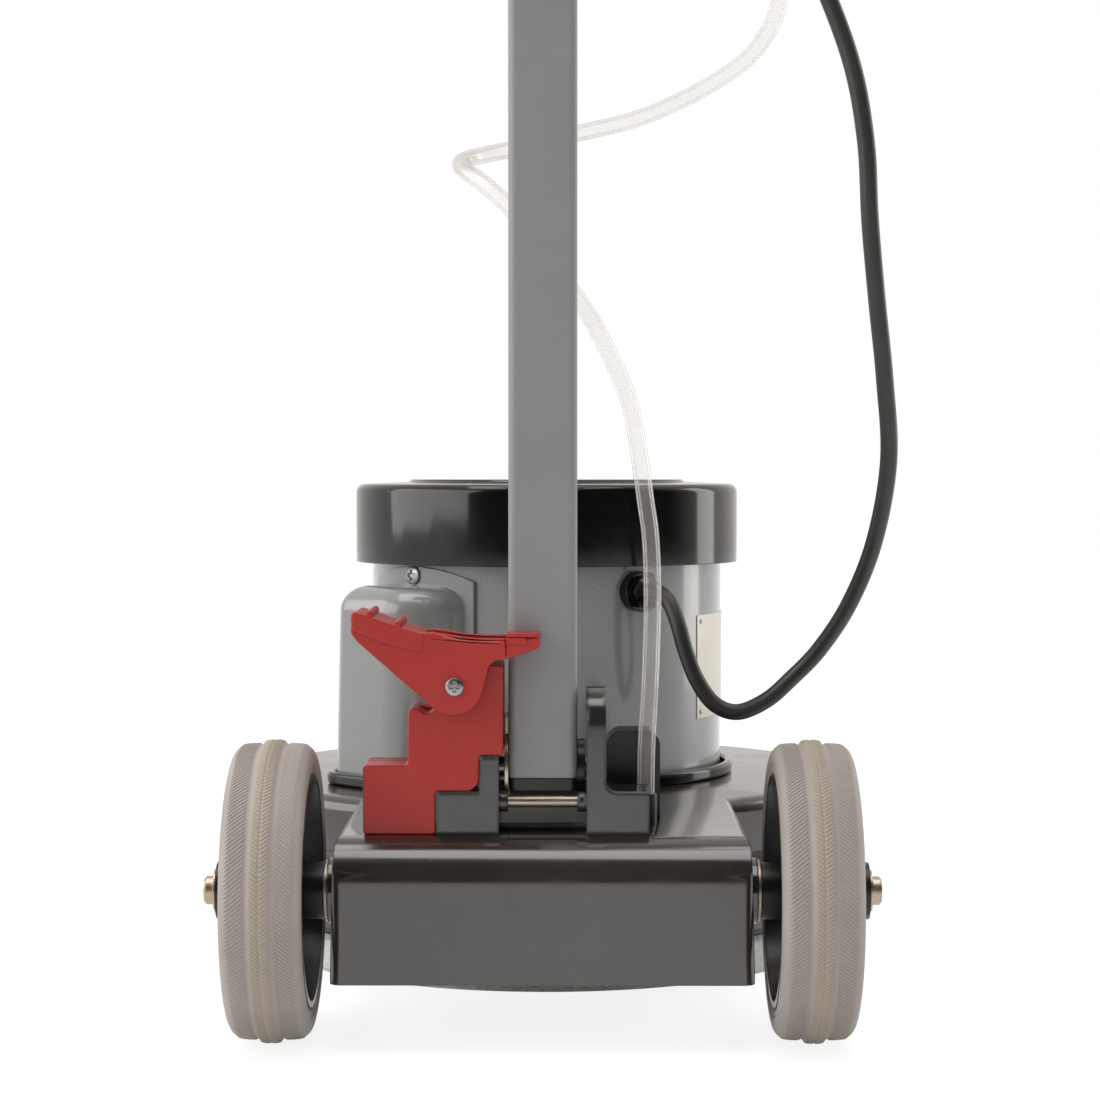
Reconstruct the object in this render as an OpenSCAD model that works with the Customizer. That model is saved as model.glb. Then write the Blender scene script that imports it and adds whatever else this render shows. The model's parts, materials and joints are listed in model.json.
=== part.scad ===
// Single-disc floor machine, in millimetres.
// The machine is seen from behind along +Y: the wheels and the handle are at the back (-Y), the motor
// stands over the disc at the front (+Y), +X is right and +Z is up.
// The origin is on the floor, under the middle of the machine's box.

/* [Wheels] */
// Diameter over the tyre's middle ridge
wheel_d = 175; // [150:1:190]
// Width of the tyre
tyre_w = 46; // [38:1:50]
// Distance from the machine's middle to the middle of a wheel
wheel_x = 155.6; // [150:0.1:160]
// Diameter of the rim where the tyre sits
rim_d = 134; // [110:1:140]
// Diameter of the wheel's hub
hub_d = 33; // [28:1:40]
// Diameter of the axle shaft
axle_d = 20; // [14:1:22]
// Number of spokes in a rim
spoke_count = 5; // [4:1:8]

/* [Deck] */
// Diameter of the deck over its bumper
deck_d = 430; // [400:1:460]
// Height of the deck's top face over the floor
deck_top = 121; // [115:1:130]
// Height of the skirt's lower edge over the floor
skirt_bottom = 36; // [30:1:40]
// Distance from the axle to the middle of the disc
axle_to_disc = 328; // [315:1:340]
// Width of the axle box at its lower edge
box_w = 242; // [232:1:246]
// Height of the axle box's lower edge over the floor
box_bottom = 39; // [34:1:44]
// Distance from the axle to the box's rear face
box_rear = 36; // [32:1:42]
// Radius of the box's rear top edge
box_round = 27; // [15:1:30]
// Wall of the deck casting
deck_wall = 6; // [4:0.5:8]
// Height of the rubber bumper band
bumper_h = 27; // [20:1:32]

/* [Motor] */
// Outer diameter of the motor housing
motor_d = 244; // [230:1:250]
// Height of the motor housing
motor_h = 147; // [140:1:165]
// Wall of the motor housing
motor_wall = 5; // [3:0.5:7]
// Diameter of the top cover
cover_d = 267; // [256:1:276]
// Height of the top cover's side
cover_h = 54; // [45:1:60]
// Rise of the top cover's middle disc
cover_rise = 3; // [1:0.5:6]
// Width of the capacitor cover's body
cap_w = 82; // [70:1:86]
// How far the capacitor cover stands out from the motor housing
cap_out = 38; // [30:1:42]
// Width of the capacitor cover's flange
cap_flange_w = 97; // [92:1:104]
// Diameter of the cable gland
gland_d = 27; // [22:1:30]

/* [Gears] */
// Module of the gears
gear_module = 1.5; // [1.4:0.05:1.55]
// Face width of the gears
gear_w = 18; // [14:1:20]

/* [Disc] */
// Diameter of the floor pad
pad_d = 381; // [330:1:400]
// Thickness of the floor pad
pad_t = 25; // [18:1:26]
// Thickness of the pad driver plate
driver_t = 18; // [14:1:19]

/* [Handle] */
// Width of the square handle tube
tube_w = 40; // [35:1:42]
// Wall of the handle tube
tube_wall = 2; // [1.5:0.5:4]
// Height of the handle tube's top end over the floor
tube_top = 1065; // [1000:1:1120]
// Height of the tilt pivot over the floor
pivot_z = 157; // [154:1:160]
// Distance from the axle forwards to the tilt pivot
pivot_fwd = 22; // [20:1:24]
// Diameter of the pivot pin
pivot_d = 12; // [10:1:12]
// Angle of the handle from upright to its working position
tilt_range = 65; // [60:1:70]
// Width over the two hand grips
bar_span = 396; // [360:1:410]
// Diameter of the hand bar
bar_d = 25; // [22:1:28]
// Diameter of the rubber grips
grip_d = 33; // [30:1:36]

/* [Bracket and lock] */
// Clear width between the bracket's ears
ear_gap = 50.6; // [50:0.1:54]
// Thickness of an ear
ear_t = 11.2; // [9:0.1:13]
// Height of the right ear over the deck
ear_h = 84; // [75:1:90]
// Depth of the lock block from back to front
block_depth = 44; // [36:1:48]
// Diameter of the lock pin
lock_pin_d = 8; // [6:0.5:8]
// Travel of the lock pin
lock_travel = 2.6; // [2:0.1:2.7]
// Distance of the index holes from the tilt pivot
index_r = 24; // [23:0.5:25]

/* [Tank] */
// Width of the solution tank
tank_w = 250; // [200:1:260]
// Depth of the solution tank
tank_depth = 150; // [120:1:160]
// Height of the solution tank
tank_h = 270; // [220:1:300]
// Wall of the solution tank
tank_wall = 4; // [3:0.5:5]
// Height of the tank's underside over the floor
tank_z = 650; // [640:1:680]

/* [Cords] */
// Diameter of the motor cable
cable_d = 10.4; // [8:0.1:11]
// Diameter of the solution hose
hose_d = 10.5; // [8:0.1:12]

/* [Hidden] */

$fn = 96;
// Smooth round bodies that show their outline
fn_big = 180;
// Children of a hull
fn_hull = 32;
// A little more than nothing, for cuts that run past a face
eps = 0.01;
// Running clearance of a shaft in its hole, on the radius
run = 0.05;
// Gap between faces of bodies that move past each other
gap = 0.3;

paint_grey = [0.53, 0.55, 0.56];
motor_grey = [0.47, 0.50, 0.51];
gloss_black = [0.08, 0.08, 0.08];
lock_red = [0.68, 0.20, 0.19];
tyre_grey = [0.63, 0.60, 0.58];
zinc = [0.78, 0.78, 0.76];
steel = [0.62, 0.63, 0.65];
copper = [0.72, 0.42, 0.25];
rubber_black = [0.10, 0.10, 0.10];
clear_pvc = [0.90, 0.92, 0.92];
tank_white = [0.86, 0.87, 0.86];
pad_white = [0.93, 0.93, 0.91];

wheel_r = wheel_d / 2;
deck_r = deck_d / 2;
// The box runs from the back of the wheels to the front of the bumper
axle_y = -(axle_to_disc + deck_r - wheel_r) / 2;
disc_y = axle_y + axle_to_disc;
axle_z = wheel_r;

motor_r = motor_d / 2;
motor_top = deck_top + motor_h;
cover_r = cover_d / 2;

// General helpers

// A plate with an XZ outline, from y0 to y1
module along_y(y0, y1) translate([0, y1, 0]) rotate([90, 0, 0]) linear_extrude(y1 - y0) children();

// A bar with a YZ outline, from x0 to x1
module along_x(x0, x1)
    translate([x0, 0, 0]) rotate([90, 0, 90]) linear_extrude(x1 - x0) children();

// A cylinder along X, centred on a point of the YZ plane
module rod_x(x0, x1, r, y, z) translate([x0, y, z]) rotate([0, 90, 0]) cylinder(r = r, h = x1 - x0);

// A cylinder along Y, centred on a point of the XZ plane
module rod_y(y0, y1, r, x, z) translate([x, y0, z]) rotate([-90, 0, 0]) cylinder(r = r, h = y1 - y0);

// A ring or tube along Z
module ring(r_out, r_in, h) difference() {
    cylinder(r = r_out, h = h);
    translate([0, 0, -1]) cylinder(r = r_in, h = h + 2);
}

// A rectangle with four round corners, centred
module round_rect(w, h, r) {
    square([w - 2 * r, h], center = true);
    square([w, h - 2 * r], center = true);
    for (sx = [-1, 1], sy = [-1, 1]) translate([sx * (w / 2 - r), sy * (h / 2 - r)]) circle(r);
}

// The outline of such a rectangle as points, n to a corner
function round_points(w, h, r, n = 7) = [for (c = [0:3], k = [0:n])
    let (a = c * 90 + k * 90 / n, sx = c == 0 || c == 3 ? 1 : -1, sy = c < 2 ? 1 : -1)
    [sx * (w / 2 - r) + r * cos(a), sy * (h / 2 - r) + r * sin(a)]];

// A box standing on z = 0 with round upright edges
module round_box(w, d, h, r) linear_extrude(h) round_rect(w, d, r);

function rad(a) = a * PI / 180;
function deg(a) = a * 180 / PI;

// Deck

bumper_top = 86;
bumper_out = 3;
bell_r = deck_r - bumper_out;
deck_fillet = 9;
deck_top_t = 9;
box_draft = 2.1;
box_corner = 7;
box_edge = 4;
box_len = axle_to_disc - bell_r + 95;
boss_r = 19;
boss_x = 124;
axle_rib_x = 62;
axle_rib_t = 5;
gearbox_r = 84;

module bell_outline(r, top) {
    difference() {
        translate([0, skirt_bottom]) square([r, top - skirt_bottom]);
        translate([r - deck_fillet, top - deck_fillet]) square([deck_fillet + 1, deck_fillet + 1]);
    }
    translate([r - deck_fillet, top - deck_fillet]) circle(deck_fillet);
}

// Side view of the axle box, with y counted from the axle
module box_side(inset) difference() {
    translate([-box_rear + inset, box_bottom - inset])
        square([box_rear + box_len - inset, deck_top - box_bottom]);
    difference() {
        translate([-box_rear + inset - 1, deck_top - box_round]) square([box_round + 1, box_round + 1]);
        translate([-box_rear + box_round, deck_top - box_round]) circle(box_round - inset);
    }
    if (inset > 0) translate([-box_rear, deck_top - deck_top_t]) square([box_rear + box_len, 99]);
}

// Rear view of the axle box, wider at its foot
module box_rear_view(inset) {
    w = box_w / 2 - inset;
    top = deck_top - inset;
    polygon([[-w, box_bottom - 2 * inset], [w, box_bottom - 2 * inset], [w - box_draft + 0.1, top - box_edge],
        [w - box_draft - box_edge * 0.3, top - box_edge * 0.3], [w - box_draft - box_edge, top],
        [-w + box_draft + box_edge, top], [-w + box_draft + box_edge * 0.3, top - box_edge * 0.3],
        [-w + box_draft - 0.1, top - box_edge]]);
}

module axle_box(inset) intersection() {
    along_x(-box_w / 2, box_w / 2) translate([axle_y, 0]) box_side(inset);
    along_y(axle_y - box_rear, axle_y + box_len) box_rear_view(inset);
    translate([0, axle_y + box_len - box_rear - 50, 0])
        round_box(box_w - 2 * inset, 2 * box_len - 100, 200, box_corner);
}

module deck_housing() color(gloss_black) difference() {
    union() {
        translate([0, disc_y, 0]) rotate_extrude($fn = fn_big) intersection() {
            bell_outline(bell_r, deck_top);
            square([bell_r + 1, deck_top + 1]);
        }
        difference() {
            axle_box(0);
            difference() {
                axle_box(deck_wall);
                translate([0, disc_y, 0]) cylinder(r = bell_r, h = deck_top, $fn = fn_big);
                for (s = [-1, 1]) translate([s * axle_rib_x - axle_rib_t / 2, axle_y - box_rear, box_bottom + 8])
                    cube([axle_rib_t, box_len, deck_top]);
            }
        }
        for (s = [-1, 1]) rod_x(s > 0 ? boss_x - 12 : -boss_x, s > 0 ? boss_x : -boss_x + 12, boss_r, axle_y, axle_z);
    }
    // Room for the disc
    translate([0, disc_y, 0]) cylinder(r = bell_r - deck_wall, h = deck_top - deck_top_t, $fn = fn_big);
    // Seat of the gearbox
    translate([0, disc_y, 0]) cylinder(r = gearbox_r + run, h = deck_top + 1);
    rod_x(-boss_x - 1, boss_x + 1, axle_d / 2 + run, axle_y, axle_z);
}

// The band is open where the axle box leaves the bell
module bumper_ring() color(rubber_black) difference() {
    translate([0, disc_y, bumper_top - bumper_h]) rotate_extrude($fn = fn_big)
        polygon([[bell_r, 0], [deck_r - 1.5, 0], [deck_r, 3], [deck_r, bumper_h - 3],
            [deck_r - 1.5, bumper_h], [bell_r, bumper_h]]);
    translate([-box_w / 2 - 1, disc_y - deck_r - 1, 0]) cube([box_w + 2, deck_r - 60, 200]);
}

// Motor

plate_t = 6;
cover_t = 3;
cover_fillet = 6;
cover_disc_r = 97;
cover_seat_r = 104;
vent_count = 36;
shaft_r = 10;
fan_r = 96;
bearing_or = 26;
bearing_h = 12;
rim_gap = 3;
rim_w = 5.5;
rim_h = 8.5;
stator_r = motor_r - motor_wall;
stator_in = 62;
air_gap = 0.6;
stack_z = deck_top + 50;
stack_h = 50;

module motor_housing() color(motor_grey) translate([0, disc_y, 0]) difference() {
    translate([0, 0, deck_top]) cylinder(r = motor_r, h = motor_h, $fn = fn_big);
    translate([0, 0, deck_top + plate_t]) cylinder(r = stator_r, h = motor_h - 2 * plate_t - 20, $fn = fn_big);
    translate([0, 0, motor_top - plate_t - 22]) cylinder(r1 = stator_r, r2 = 60, h = 20);
    // Seats of the two bearings and the hole for the shaft
    translate([0, 0, deck_top - 1]) cylinder(r = bearing_or, h = plate_t + 2);
    translate([0, 0, motor_top - bearing_h - 1]) cylinder(r = bearing_or, h = bearing_h + 2);
    translate([0, 0, motor_top - 30]) cylinder(r = shaft_r + 4, h = 40);
}

module bearing_at(z, r_in, r_out, h) translate([0, disc_y, z]) difference() {
    cylinder(r = r_out, h = h);
    translate([0, 0, -1]) cylinder(r = r_in + run, h = h + 2);
    for (side = [-1, h - 1]) translate([0, 0, side]) ring(r_out - 4, r_in + 4, 2);
}

module bearings() color(steel) {
    bearing_at(deck_top - 6, shaft_r, bearing_or, bearing_h);
    bearing_at(motor_top - bearing_h - 1, shaft_r, bearing_or, bearing_h);
    bearing_at(gearbox_floor, hub_shaft_r, bearing_or + 4, bearing_h);
}

module stator() color(copper) translate([0, disc_y, stack_z]) {
    difference() {
        union() {
            cylinder(r = stator_r, h = stack_h, $fn = fn_big);
            translate([0, 0, stack_h - eps]) rotate_extrude() translate([88, 0]) winding_head(1);
            mirror([0, 0, 1]) translate([0, 0, -eps]) rotate_extrude() translate([88, 0]) winding_head(1);
        }
        translate([0, 0, -1]) cylinder(r = stator_in, h = stack_h + 2);
    }
}

module winding_head(s) {
    translate([-14, 0]) square([28, 10 * s]);
    translate([-6, 10 * s]) circle(8);
    translate([6, 10 * s]) circle(8);
}

module rotor_shaft() color(steel) translate([0, disc_y, 0]) {
    translate([0, 0, sun_top]) cylinder(r = shaft_r, h = motor_top + 20 - sun_top);
    translate([0, 0, gear_z + 2]) cylinder(r = sun_bore_r, h = gear_w);
    translate([0, 0, motor_top + 20]) cylinder(r = shaft_r - 2, h = 8);
}

module rotor_core() color(zinc) translate([0, disc_y, stack_z]) difference() {
    union() {
        cylinder(r = stator_in - air_gap, h = stack_h);
        translate([0, 0, -6]) ring(stator_in - 4, stator_in - 18, stack_h + 12);
    }
    translate([0, 0, -10]) cylinder(r = shaft_r, h = stack_h + 20);
}

blade_count = 9;
module cooling_fan() color(gloss_black) translate([0, disc_y, motor_top + 8]) difference() {
    union() {
        cylinder(r = 22, h = 14);
        cylinder(r = fan_r, h = 3);
        for (i = [0:blade_count - 1]) rotate([0, 0, i * 360 / blade_count])
            translate([20, -1.5, 0]) cube([fan_r - 22, 3, 24]);
    }
    translate([0, 0, -1]) cylinder(r = shaft_r, h = 12 + 1);
    translate([0, 0, 11]) cylinder(r = shaft_r, h = 30);
}

// A cap over the fan; air comes in through slots in the part that overhangs the housing
module motor_cover() color(gloss_black) translate([0, disc_y, motor_top]) difference() {
    rotate_extrude($fn = fn_big) difference() {
        cover_outline(cover_r, cover_h, cover_fillet, cover_rise);
        translate([0, cover_t]) cover_outline(cover_r - cover_t, cover_h - 2 * cover_t, cover_fillet - 2, cover_rise);
        translate([-1, -1]) square([cover_seat_r + 1, cover_t + 2]);
    }
    for (i = [0:vent_count - 1]) rotate([0, 0, i * 360 / vent_count])
        translate([motor_r + 1.5, -1.5, -1]) cube([6, 3, cover_t + 2]);
}

module cover_outline(r, h, fillet, rise) {
    difference() {
        square([r, h]);
        translate([r - fillet, h - fillet]) square(fillet + 1);
    }
    translate([r - fillet, h - fillet]) circle(fillet, $fn = 64);
    polygon([[0, h - 1], [r - fillet, h - 1], [r - fillet, h], [cover_disc_r + 6, h + rise * 0.35],
        [cover_disc_r, h + rise * 0.45], [cover_disc_r - 2, h + rise], [0, h + rise]]);
}

// The plan of the capacitor cover, with the motor's middle at the origin and -Y pointing outwards
module cap_plan(grow) translate([0, -(motor_r + cap_out) / 2 - 20]) polygon(round_points(cap_w + 2 * grow,
    motor_r + cap_out - 40 + 2 * grow, 16 + grow));

module motor_rim() color(rubber_black) translate([0, disc_y, deck_top]) difference() {
    rotate([0, 0, -45]) union() {
        cylinder(r = motor_r + rim_gap + rim_w, h = rim_h, $fn = fn_big);
        linear_extrude(rim_h) cap_plan(rim_gap + rim_w + cap_lean);
    }
    rotate([0, 0, -45]) {
        translate([0, 0, -1]) cylinder(r = motor_r + rim_gap, h = rim_h + 2, $fn = fn_big);
        translate([0, 0, -1]) linear_extrude(rim_h + 2) cap_plan(rim_gap + cap_lean);
    }
}

cap_bottom = deck_top + 4;
cap_body_top = deck_top + 133;
cap_flange_h = motor_top - 1 - cap_bottom;
cap_arch = 9.5;
cap_arch_r = (pow(cap_flange_w / 2, 2) + pow(cap_arch, 2)) / (2 * cap_arch);
cap_screw_z = motor_top - 7;
cap_lean = 3;
cap_t = 3;
cap_screw_r = 6;

module cap_block(lean, top, round_top, inset) hull() {
    translate([0, 0, cap_bottom - inset]) linear_extrude(1) cap_outer(lean - inset);
    translate([0, 0, top - round_top - inset]) linear_extrude(1) cap_outer(-inset);
    for (a = [30, 60, 90]) translate([0, 0, top - round_top - inset + round_top * sin(a) - 1])
        linear_extrude(1) cap_outer(-inset - round_top * (1 - cos(a)));
}

module cap_outer(grow) intersection() {
    cap_plan(grow);
    translate([-100, -motor_r - cap_out - 20]) square([200, cap_out + 40]);
}

module capacitor_cover() color(motor_grey) translate([0, disc_y, 0]) rotate([0, 0, -45]) difference() {
    union() {
        cap_block(cap_lean, cap_body_top, 15, 0);
        // The flange lies on the housing and ends in an arch round the screw
        intersection() {
            translate([0, 0, cap_bottom]) ring(motor_r + gap + 3, motor_r + gap, 160, $fn = fn_big);
            along_y(-motor_r - 10, -60) intersection() {
                translate([-cap_flange_w / 2, cap_bottom]) square([cap_flange_w, cap_flange_h]);
                translate([0, cap_bottom + cap_flange_h - cap_arch_r]) circle(cap_arch_r, $fn = fn_big);
            }
        }
    }
    translate([0, 0, -1]) cylinder(r = motor_r + gap, h = 400, $fn = fn_big);
    cap_block(cap_lean, cap_body_top, 15, cap_t);
}

module capacitor() color(tank_white) translate([0, disc_y, 0]) rotate([0, 0, -45])
    for (s = [-1, 1]) translate([s * 18, -motor_r - 15 - 2 * gap, 0]) {
        translate([0, 0, deck_top]) cylinder(r = 15, h = 108);
        translate([0, 0, deck_top + 108]) cylinder(r = 4, h = 6);
    }

module cover_screws() color(zinc) translate([0, disc_y, 0]) rotate([0, 0, -45])
    pan_screw(motor_r + gap + cap_t, cap_screw_z, cap_screw_r);

// A pan head screw on the motor's side, pointing inwards
module pan_screw(y, z, r) translate([0, -y, z]) rotate([90, 0, 0]) difference() {
    union() {
        cylinder(r = r, h = 2);
        translate([0, 0, 2]) cylinder(r1 = r, r2 = r - 1.6, h = 1);
    }
    for (a = [0, 90]) rotate([0, 0, a]) translate([-0.52 * r, -0.12 * r, 1.2]) cube([1.04 * r, 0.24 * r, 3]);
}

gland_a = 30;
gland_z = deck_top + 130;
gland_len = 18;
module cable_gland() color(gloss_black) translate([0, disc_y, gland_z]) rotate([0, 0, gland_a])
    rotate([90, 0, 0]) difference() {
        union() {
            translate([0, 0, motor_r - 1]) cylinder(r = gland_d / 2, h = 9);
            translate([0, 0, motor_r + 8]) cylinder(r = gland_d / 2 - 2, h = 6, $fn = 6);
            translate([0, 0, motor_r + 14]) cylinder(r1 = gland_d / 2 - 3, r2 = cable_d / 2 + 1, h = gland_len - 14);
        }
        // The foot follows the round housing, and the cable stops against its seat
        rotate([90, 0, 0]) translate([0, 0, -60]) cylinder(r = motor_r, h = 120, $fn = fn_big);
        translate([0, 0, motor_r + gland_len - 0.01 - 2]) cylinder(r = cable_d / 2, h = 4);
    }

// Gears: a sun on the rotor shaft, three planets and a fixed ring

sun_teeth = 12;
planet_teeth = 42;
ring_teeth = sun_teeth + 2 * planet_teeth;
pressure_angle = 20;
backlash = 0.12;
tooth_top = 0.8;
tooth_foot = 1.1;
planet_count = 3;
planet_at = gear_module * (sun_teeth + planet_teeth) / 2;
gear_z = deck_top - 36;
sun_top = gear_z + gear_w + 2;
sun_bore_r = 4.5;
gearbox_floor = deck_top - 59;
gearbox_wall = 7;
carrier_t = 8;
carrier_r = 60;
hub_shaft_r = 15;
pin_r = 6;

function inv(a) = tan(a) - rad(a);

// Half the angle of a tooth at radius r, in degrees
function tooth_half(n, r) = let (rp = gear_module * n / 2, rb = rp * cos(pressure_angle),
    a = r > rb ? acos(rb / r) : 0) 90 / n + deg(inv(pressure_angle) - inv(a));

// The outline of a gear with its first tooth on +X; thin takes backlash off each flank
function gear_points(n, top, foot, thin) = let (rp = gear_module * n / 2, rb = rp * cos(pressure_angle),
        radii = [rp - foot * gear_module, max(rb, rp - 0.5 * foot * gear_module), rp, rp + top * gear_module],
        slim = deg(thin / rp))
    [for (i = [0:n - 1], side = [-1, 1], k = [0:3])
        let (r = radii[side < 0 ? k : 3 - k], half = tooth_half(n, r) - slim, a = i * 360 / n + side * half)
        [r * cos(a), r * sin(a)]];

module gear(n) linear_extrude(gear_w) polygon(gear_points(n, tooth_top, tooth_foot, backlash));

module gearbox_housing() color(steel) translate([0, disc_y, gearbox_floor]) difference() {
    cylinder(r = gearbox_r, h = deck_top - gearbox_floor);
    translate([0, 0, bearing_h + 2]) cylinder(r = gearbox_r - gearbox_wall, h = 100);
    translate([0, 0, -1]) cylinder(r = bearing_or + 4, h = bearing_h + 1);
    cylinder(r = hub_shaft_r + 4, h = bearing_h + 3);
}

module ring_gear() color(steel) translate([0, disc_y, gear_z]) difference() {
    cylinder(r = gearbox_r - gearbox_wall, h = gear_w);
    translate([0, 0, -1]) rotate([0, 0, 180 / ring_teeth]) linear_extrude(gear_w + 2)
        polygon(gear_points(ring_teeth, tooth_foot, tooth_top, -backlash));
}

module sun_gear() color(steel) translate([0, disc_y, gear_z + 1]) difference() {
    gear(sun_teeth);
    translate([0, 0, -1]) cylinder(r = sun_bore_r, h = gear_w + 2);
}

module planet_gear(i) color(steel) translate([0, disc_y, gear_z + 1]) rotate([0, 0, i * 360 / planet_count])
    translate([planet_at, 0, 0]) rotate([0, 0, 180 / planet_teeth]) difference() {
        gear(planet_teeth);
        translate([0, 0, -1]) cylinder(r = pin_r + run, h = gear_w + 2);
        for (k = [0:5]) rotate([0, 0, k * 60]) translate([18, 0, -1]) cylinder(r = 5, h = gear_w + 2);
    }

module planet_gear_1() planet_gear(0);
module planet_gear_2() planet_gear(1);
module planet_gear_3() planet_gear(2);

carrier_top = gear_z + 0.5;
driver_top = pad_t + driver_t;

module planet_carrier() color(steel) translate([0, disc_y, 0]) difference() {
    union() {
        translate([0, 0, carrier_top - carrier_t]) cylinder(r = carrier_r, h = carrier_t);
        translate([0, 0, driver_top]) cylinder(r = hub_shaft_r, h = carrier_top - driver_top);
    }
    translate([0, 0, carrier_top - 4]) cylinder(r = sun_bore_r + 3, h = 10);
    for (i = [0:planet_count - 1]) rotate([0, 0, i * 360 / planet_count])
        translate([planet_at, 0, 0]) cylinder(r = pin_r, h = 200);
}

module planet_pins() color(zinc) for (i = [0:planet_count - 1])
    translate([0, disc_y, carrier_top - carrier_t]) rotate([0, 0, i * 360 / planet_count])
        translate([planet_at, 0, 0]) cylinder(r = pin_r, h = carrier_t + gear_w + 3);

// The plate on the hub shaft that turns the pad driver by three lugs
module drive_plate() color(zinc) translate([0, disc_y, driver_top]) difference() {
    union() {
        cylinder(r = 76, h = 6);
        cylinder(r = 30, h = 14);
    }
    translate([0, 0, -1]) cylinder(r = hub_shaft_r, h = 20);
    for (i = [0:5]) rotate([0, 0, i * 60 + 30]) translate([52, 0, -1]) cylinder(r = 9, h = 8);
}

module pad_driver() color(gloss_black) translate([0, disc_y, pad_t]) difference() {
    union() {
        cylinder(r = pad_d / 2 - 4, h = 5, $fn = fn_big);
        cylinder(r = 96, h = driver_t);
        translate([0, 0, 4]) ring(pad_d / 2 - 8, pad_d / 2 - 13, driver_t - 9, $fn = fn_big);
        for (i = [0:11]) rotate([0, 0, i * 30]) translate([90, -2, 4])
            cube([pad_d / 2 - 10 - 90, 4, driver_t - 9]);
    }
    translate([0, 0, 5]) cylinder(r = 60, h = driver_t);
    translate([0, 0, -1]) cylinder(r = 24, h = driver_t);
}

module floor_pad() color(pad_white) translate([0, disc_y, 0]) difference() {
    rotate_extrude($fn = fn_big) polygon([[0, 0], [pad_d / 2 - 3, 0], [pad_d / 2, 3], [pad_d / 2, pad_t - 3],
        [pad_d / 2 - 3, pad_t], [0, pad_t]]);
    translate([0, 0, -1]) cylinder(r = 40, h = pad_t + 2);
}

// Wheels

hub_in = 126.2;
hub_out = 188.6;
washer_r = 18;
washer_t = 2;
cap_r = 8.3;
axle_end = 196;
cap_x = hub_out + gap;
ridge_w = 11;
ridge_h = 2.3;
tread_r = wheel_r - ridge_h;

// Half of the tyre's section, from the rim out: x is the radius, y the place across the tyre
tyre_half = [[rim_d / 2, tyre_w / 2 - 2], [rim_d / 2 + 2, tyre_w / 2 - 0.5], [rim_d / 2 + 8, tyre_w / 2],
    [tread_r - 7, tyre_w / 2 - 0.6], [tread_r - 3.2, tyre_w / 2 - 2.2], [tread_r - 0.8, tyre_w / 2 - 4.6],
    [tread_r, tyre_w / 2 - 7.6], [tread_r, ridge_w / 2 + 4], [tread_r - 0.7, ridge_w / 2 + 2.4],
    [tread_r + 0.6, ridge_w / 2 + 0.6], [wheel_r - 0.6, ridge_w / 2 - 0.8], [wheel_r, ridge_w / 2 - 2.4]];

module tyre_outline() polygon(concat(tyre_half,
    [for (i = [len(tyre_half) - 1:-1:0]) [tyre_half[i][0], -tyre_half[i][1]]]));

// Turns a wheel's own axis onto X at one side of the machine
module at_wheel(s) translate([s * wheel_x, axle_y, axle_z]) rotate([0, s * 90, 0]) children();

module tyre(s) color(tyre_grey) at_wheel(s) rotate_extrude($fn = fn_big) tyre_outline();

rim_lip = 1.5;
web_t = 10;
module rim(s) color(gloss_black) at_wheel(s) difference() {
    union() {
        translate([0, 0, -tyre_w / 2 - rim_lip + 2]) difference() {
            cylinder(r = rim_d / 2, h = tyre_w + 2 * rim_lip - 4, $fn = fn_big);
            translate([0, 0, -1]) cylinder(r1 = rim_d / 2 - 3.5, r2 = rim_d / 2 - 7, h = tyre_w / 2);
            translate([0, 0, tyre_w / 2 - 2]) cylinder(r1 = rim_d / 2 - 7, r2 = rim_d / 2 - 3.5, h = tyre_w / 2 + 3);
        }
        translate([0, 0, hub_in - wheel_x]) cylinder(r = hub_d / 2, h = hub_out - hub_in);
        translate([0, 0, -web_t / 2]) ring(hub_d / 2 + 7, hub_d / 2 - 2, web_t);
        for (i = [0:spoke_count - 1]) rotate([0, 0, i * 360 / spoke_count + 90]) {
            translate([hub_d / 2 - 2, -9, -3]) cube([rim_d / 2 - hub_d / 2 - 3, 18, 6]);
            translate([hub_d / 2 - 2, -2, -13]) cube([rim_d / 2 - hub_d / 2 - 3, 4, 26]);
        }
    }
    translate([0, 0, -50]) cylinder(r = axle_d / 2 + run, h = 100);
}

module tyre_left() tyre(-1);
module tyre_right() tyre(1);
module rim_left() rim(-1);
module rim_right() rim(1);

module axle_shaft() color(steel) rod_x(-cap_x, cap_x, axle_d / 2, axle_y, axle_z);

module axle_washers() color(zinc) for (s = [-1, 1])
    translate([s * (boss_x + (washer_t - gap) / 2), axle_y, axle_z]) rotate([0, 90, 0])
        translate([0, 0, -(washer_t - gap) / 2]) ring(washer_r, axle_d / 2 + run, washer_t - gap);

module axle_caps() color(zinc) for (s = [-1, 1]) translate([s * cap_x, axle_y, axle_z])
    rotate([0, s * 90, 0]) {
        cylinder(r = 12, h = 1.4);
        cylinder(r = cap_r, h = axle_end - cap_x - 1);
        cylinder(r1 = cap_r, r2 = cap_r - 1.2, h = axle_end - cap_x);
    }

// Handle bracket on the deck

bracket_back = axle_y - 9;
pivot_y = axle_y + pivot_fwd;
foot_len = 39;
foot_x = 61.7;
foot_h = 25;
ear_in = ear_gap / 2;
ear_out = ear_in + ear_t;
ear_len = 64;
left_ear_h = pivot_z + 9.5 - deck_top;
lobe_r = 22;
web_h = 4;
tie_z = deck_top + 18.5;
tie_y = bracket_back + 7.5;
tie_r = 3.4;
tie_boss_r = 6;
seat_fillet = 7;

// Side view of an ear: a foot that rises to a round lobe
module ear_side(h, r) difference() {
    hull() {
        translate([bracket_back, deck_top]) square([ear_len, 22]);
        translate([bracket_back + r, deck_top + h - r]) circle(r, $fn = 64);
    }
    translate([bracket_back - 100, 0]) square([100, 999]);
}

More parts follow.
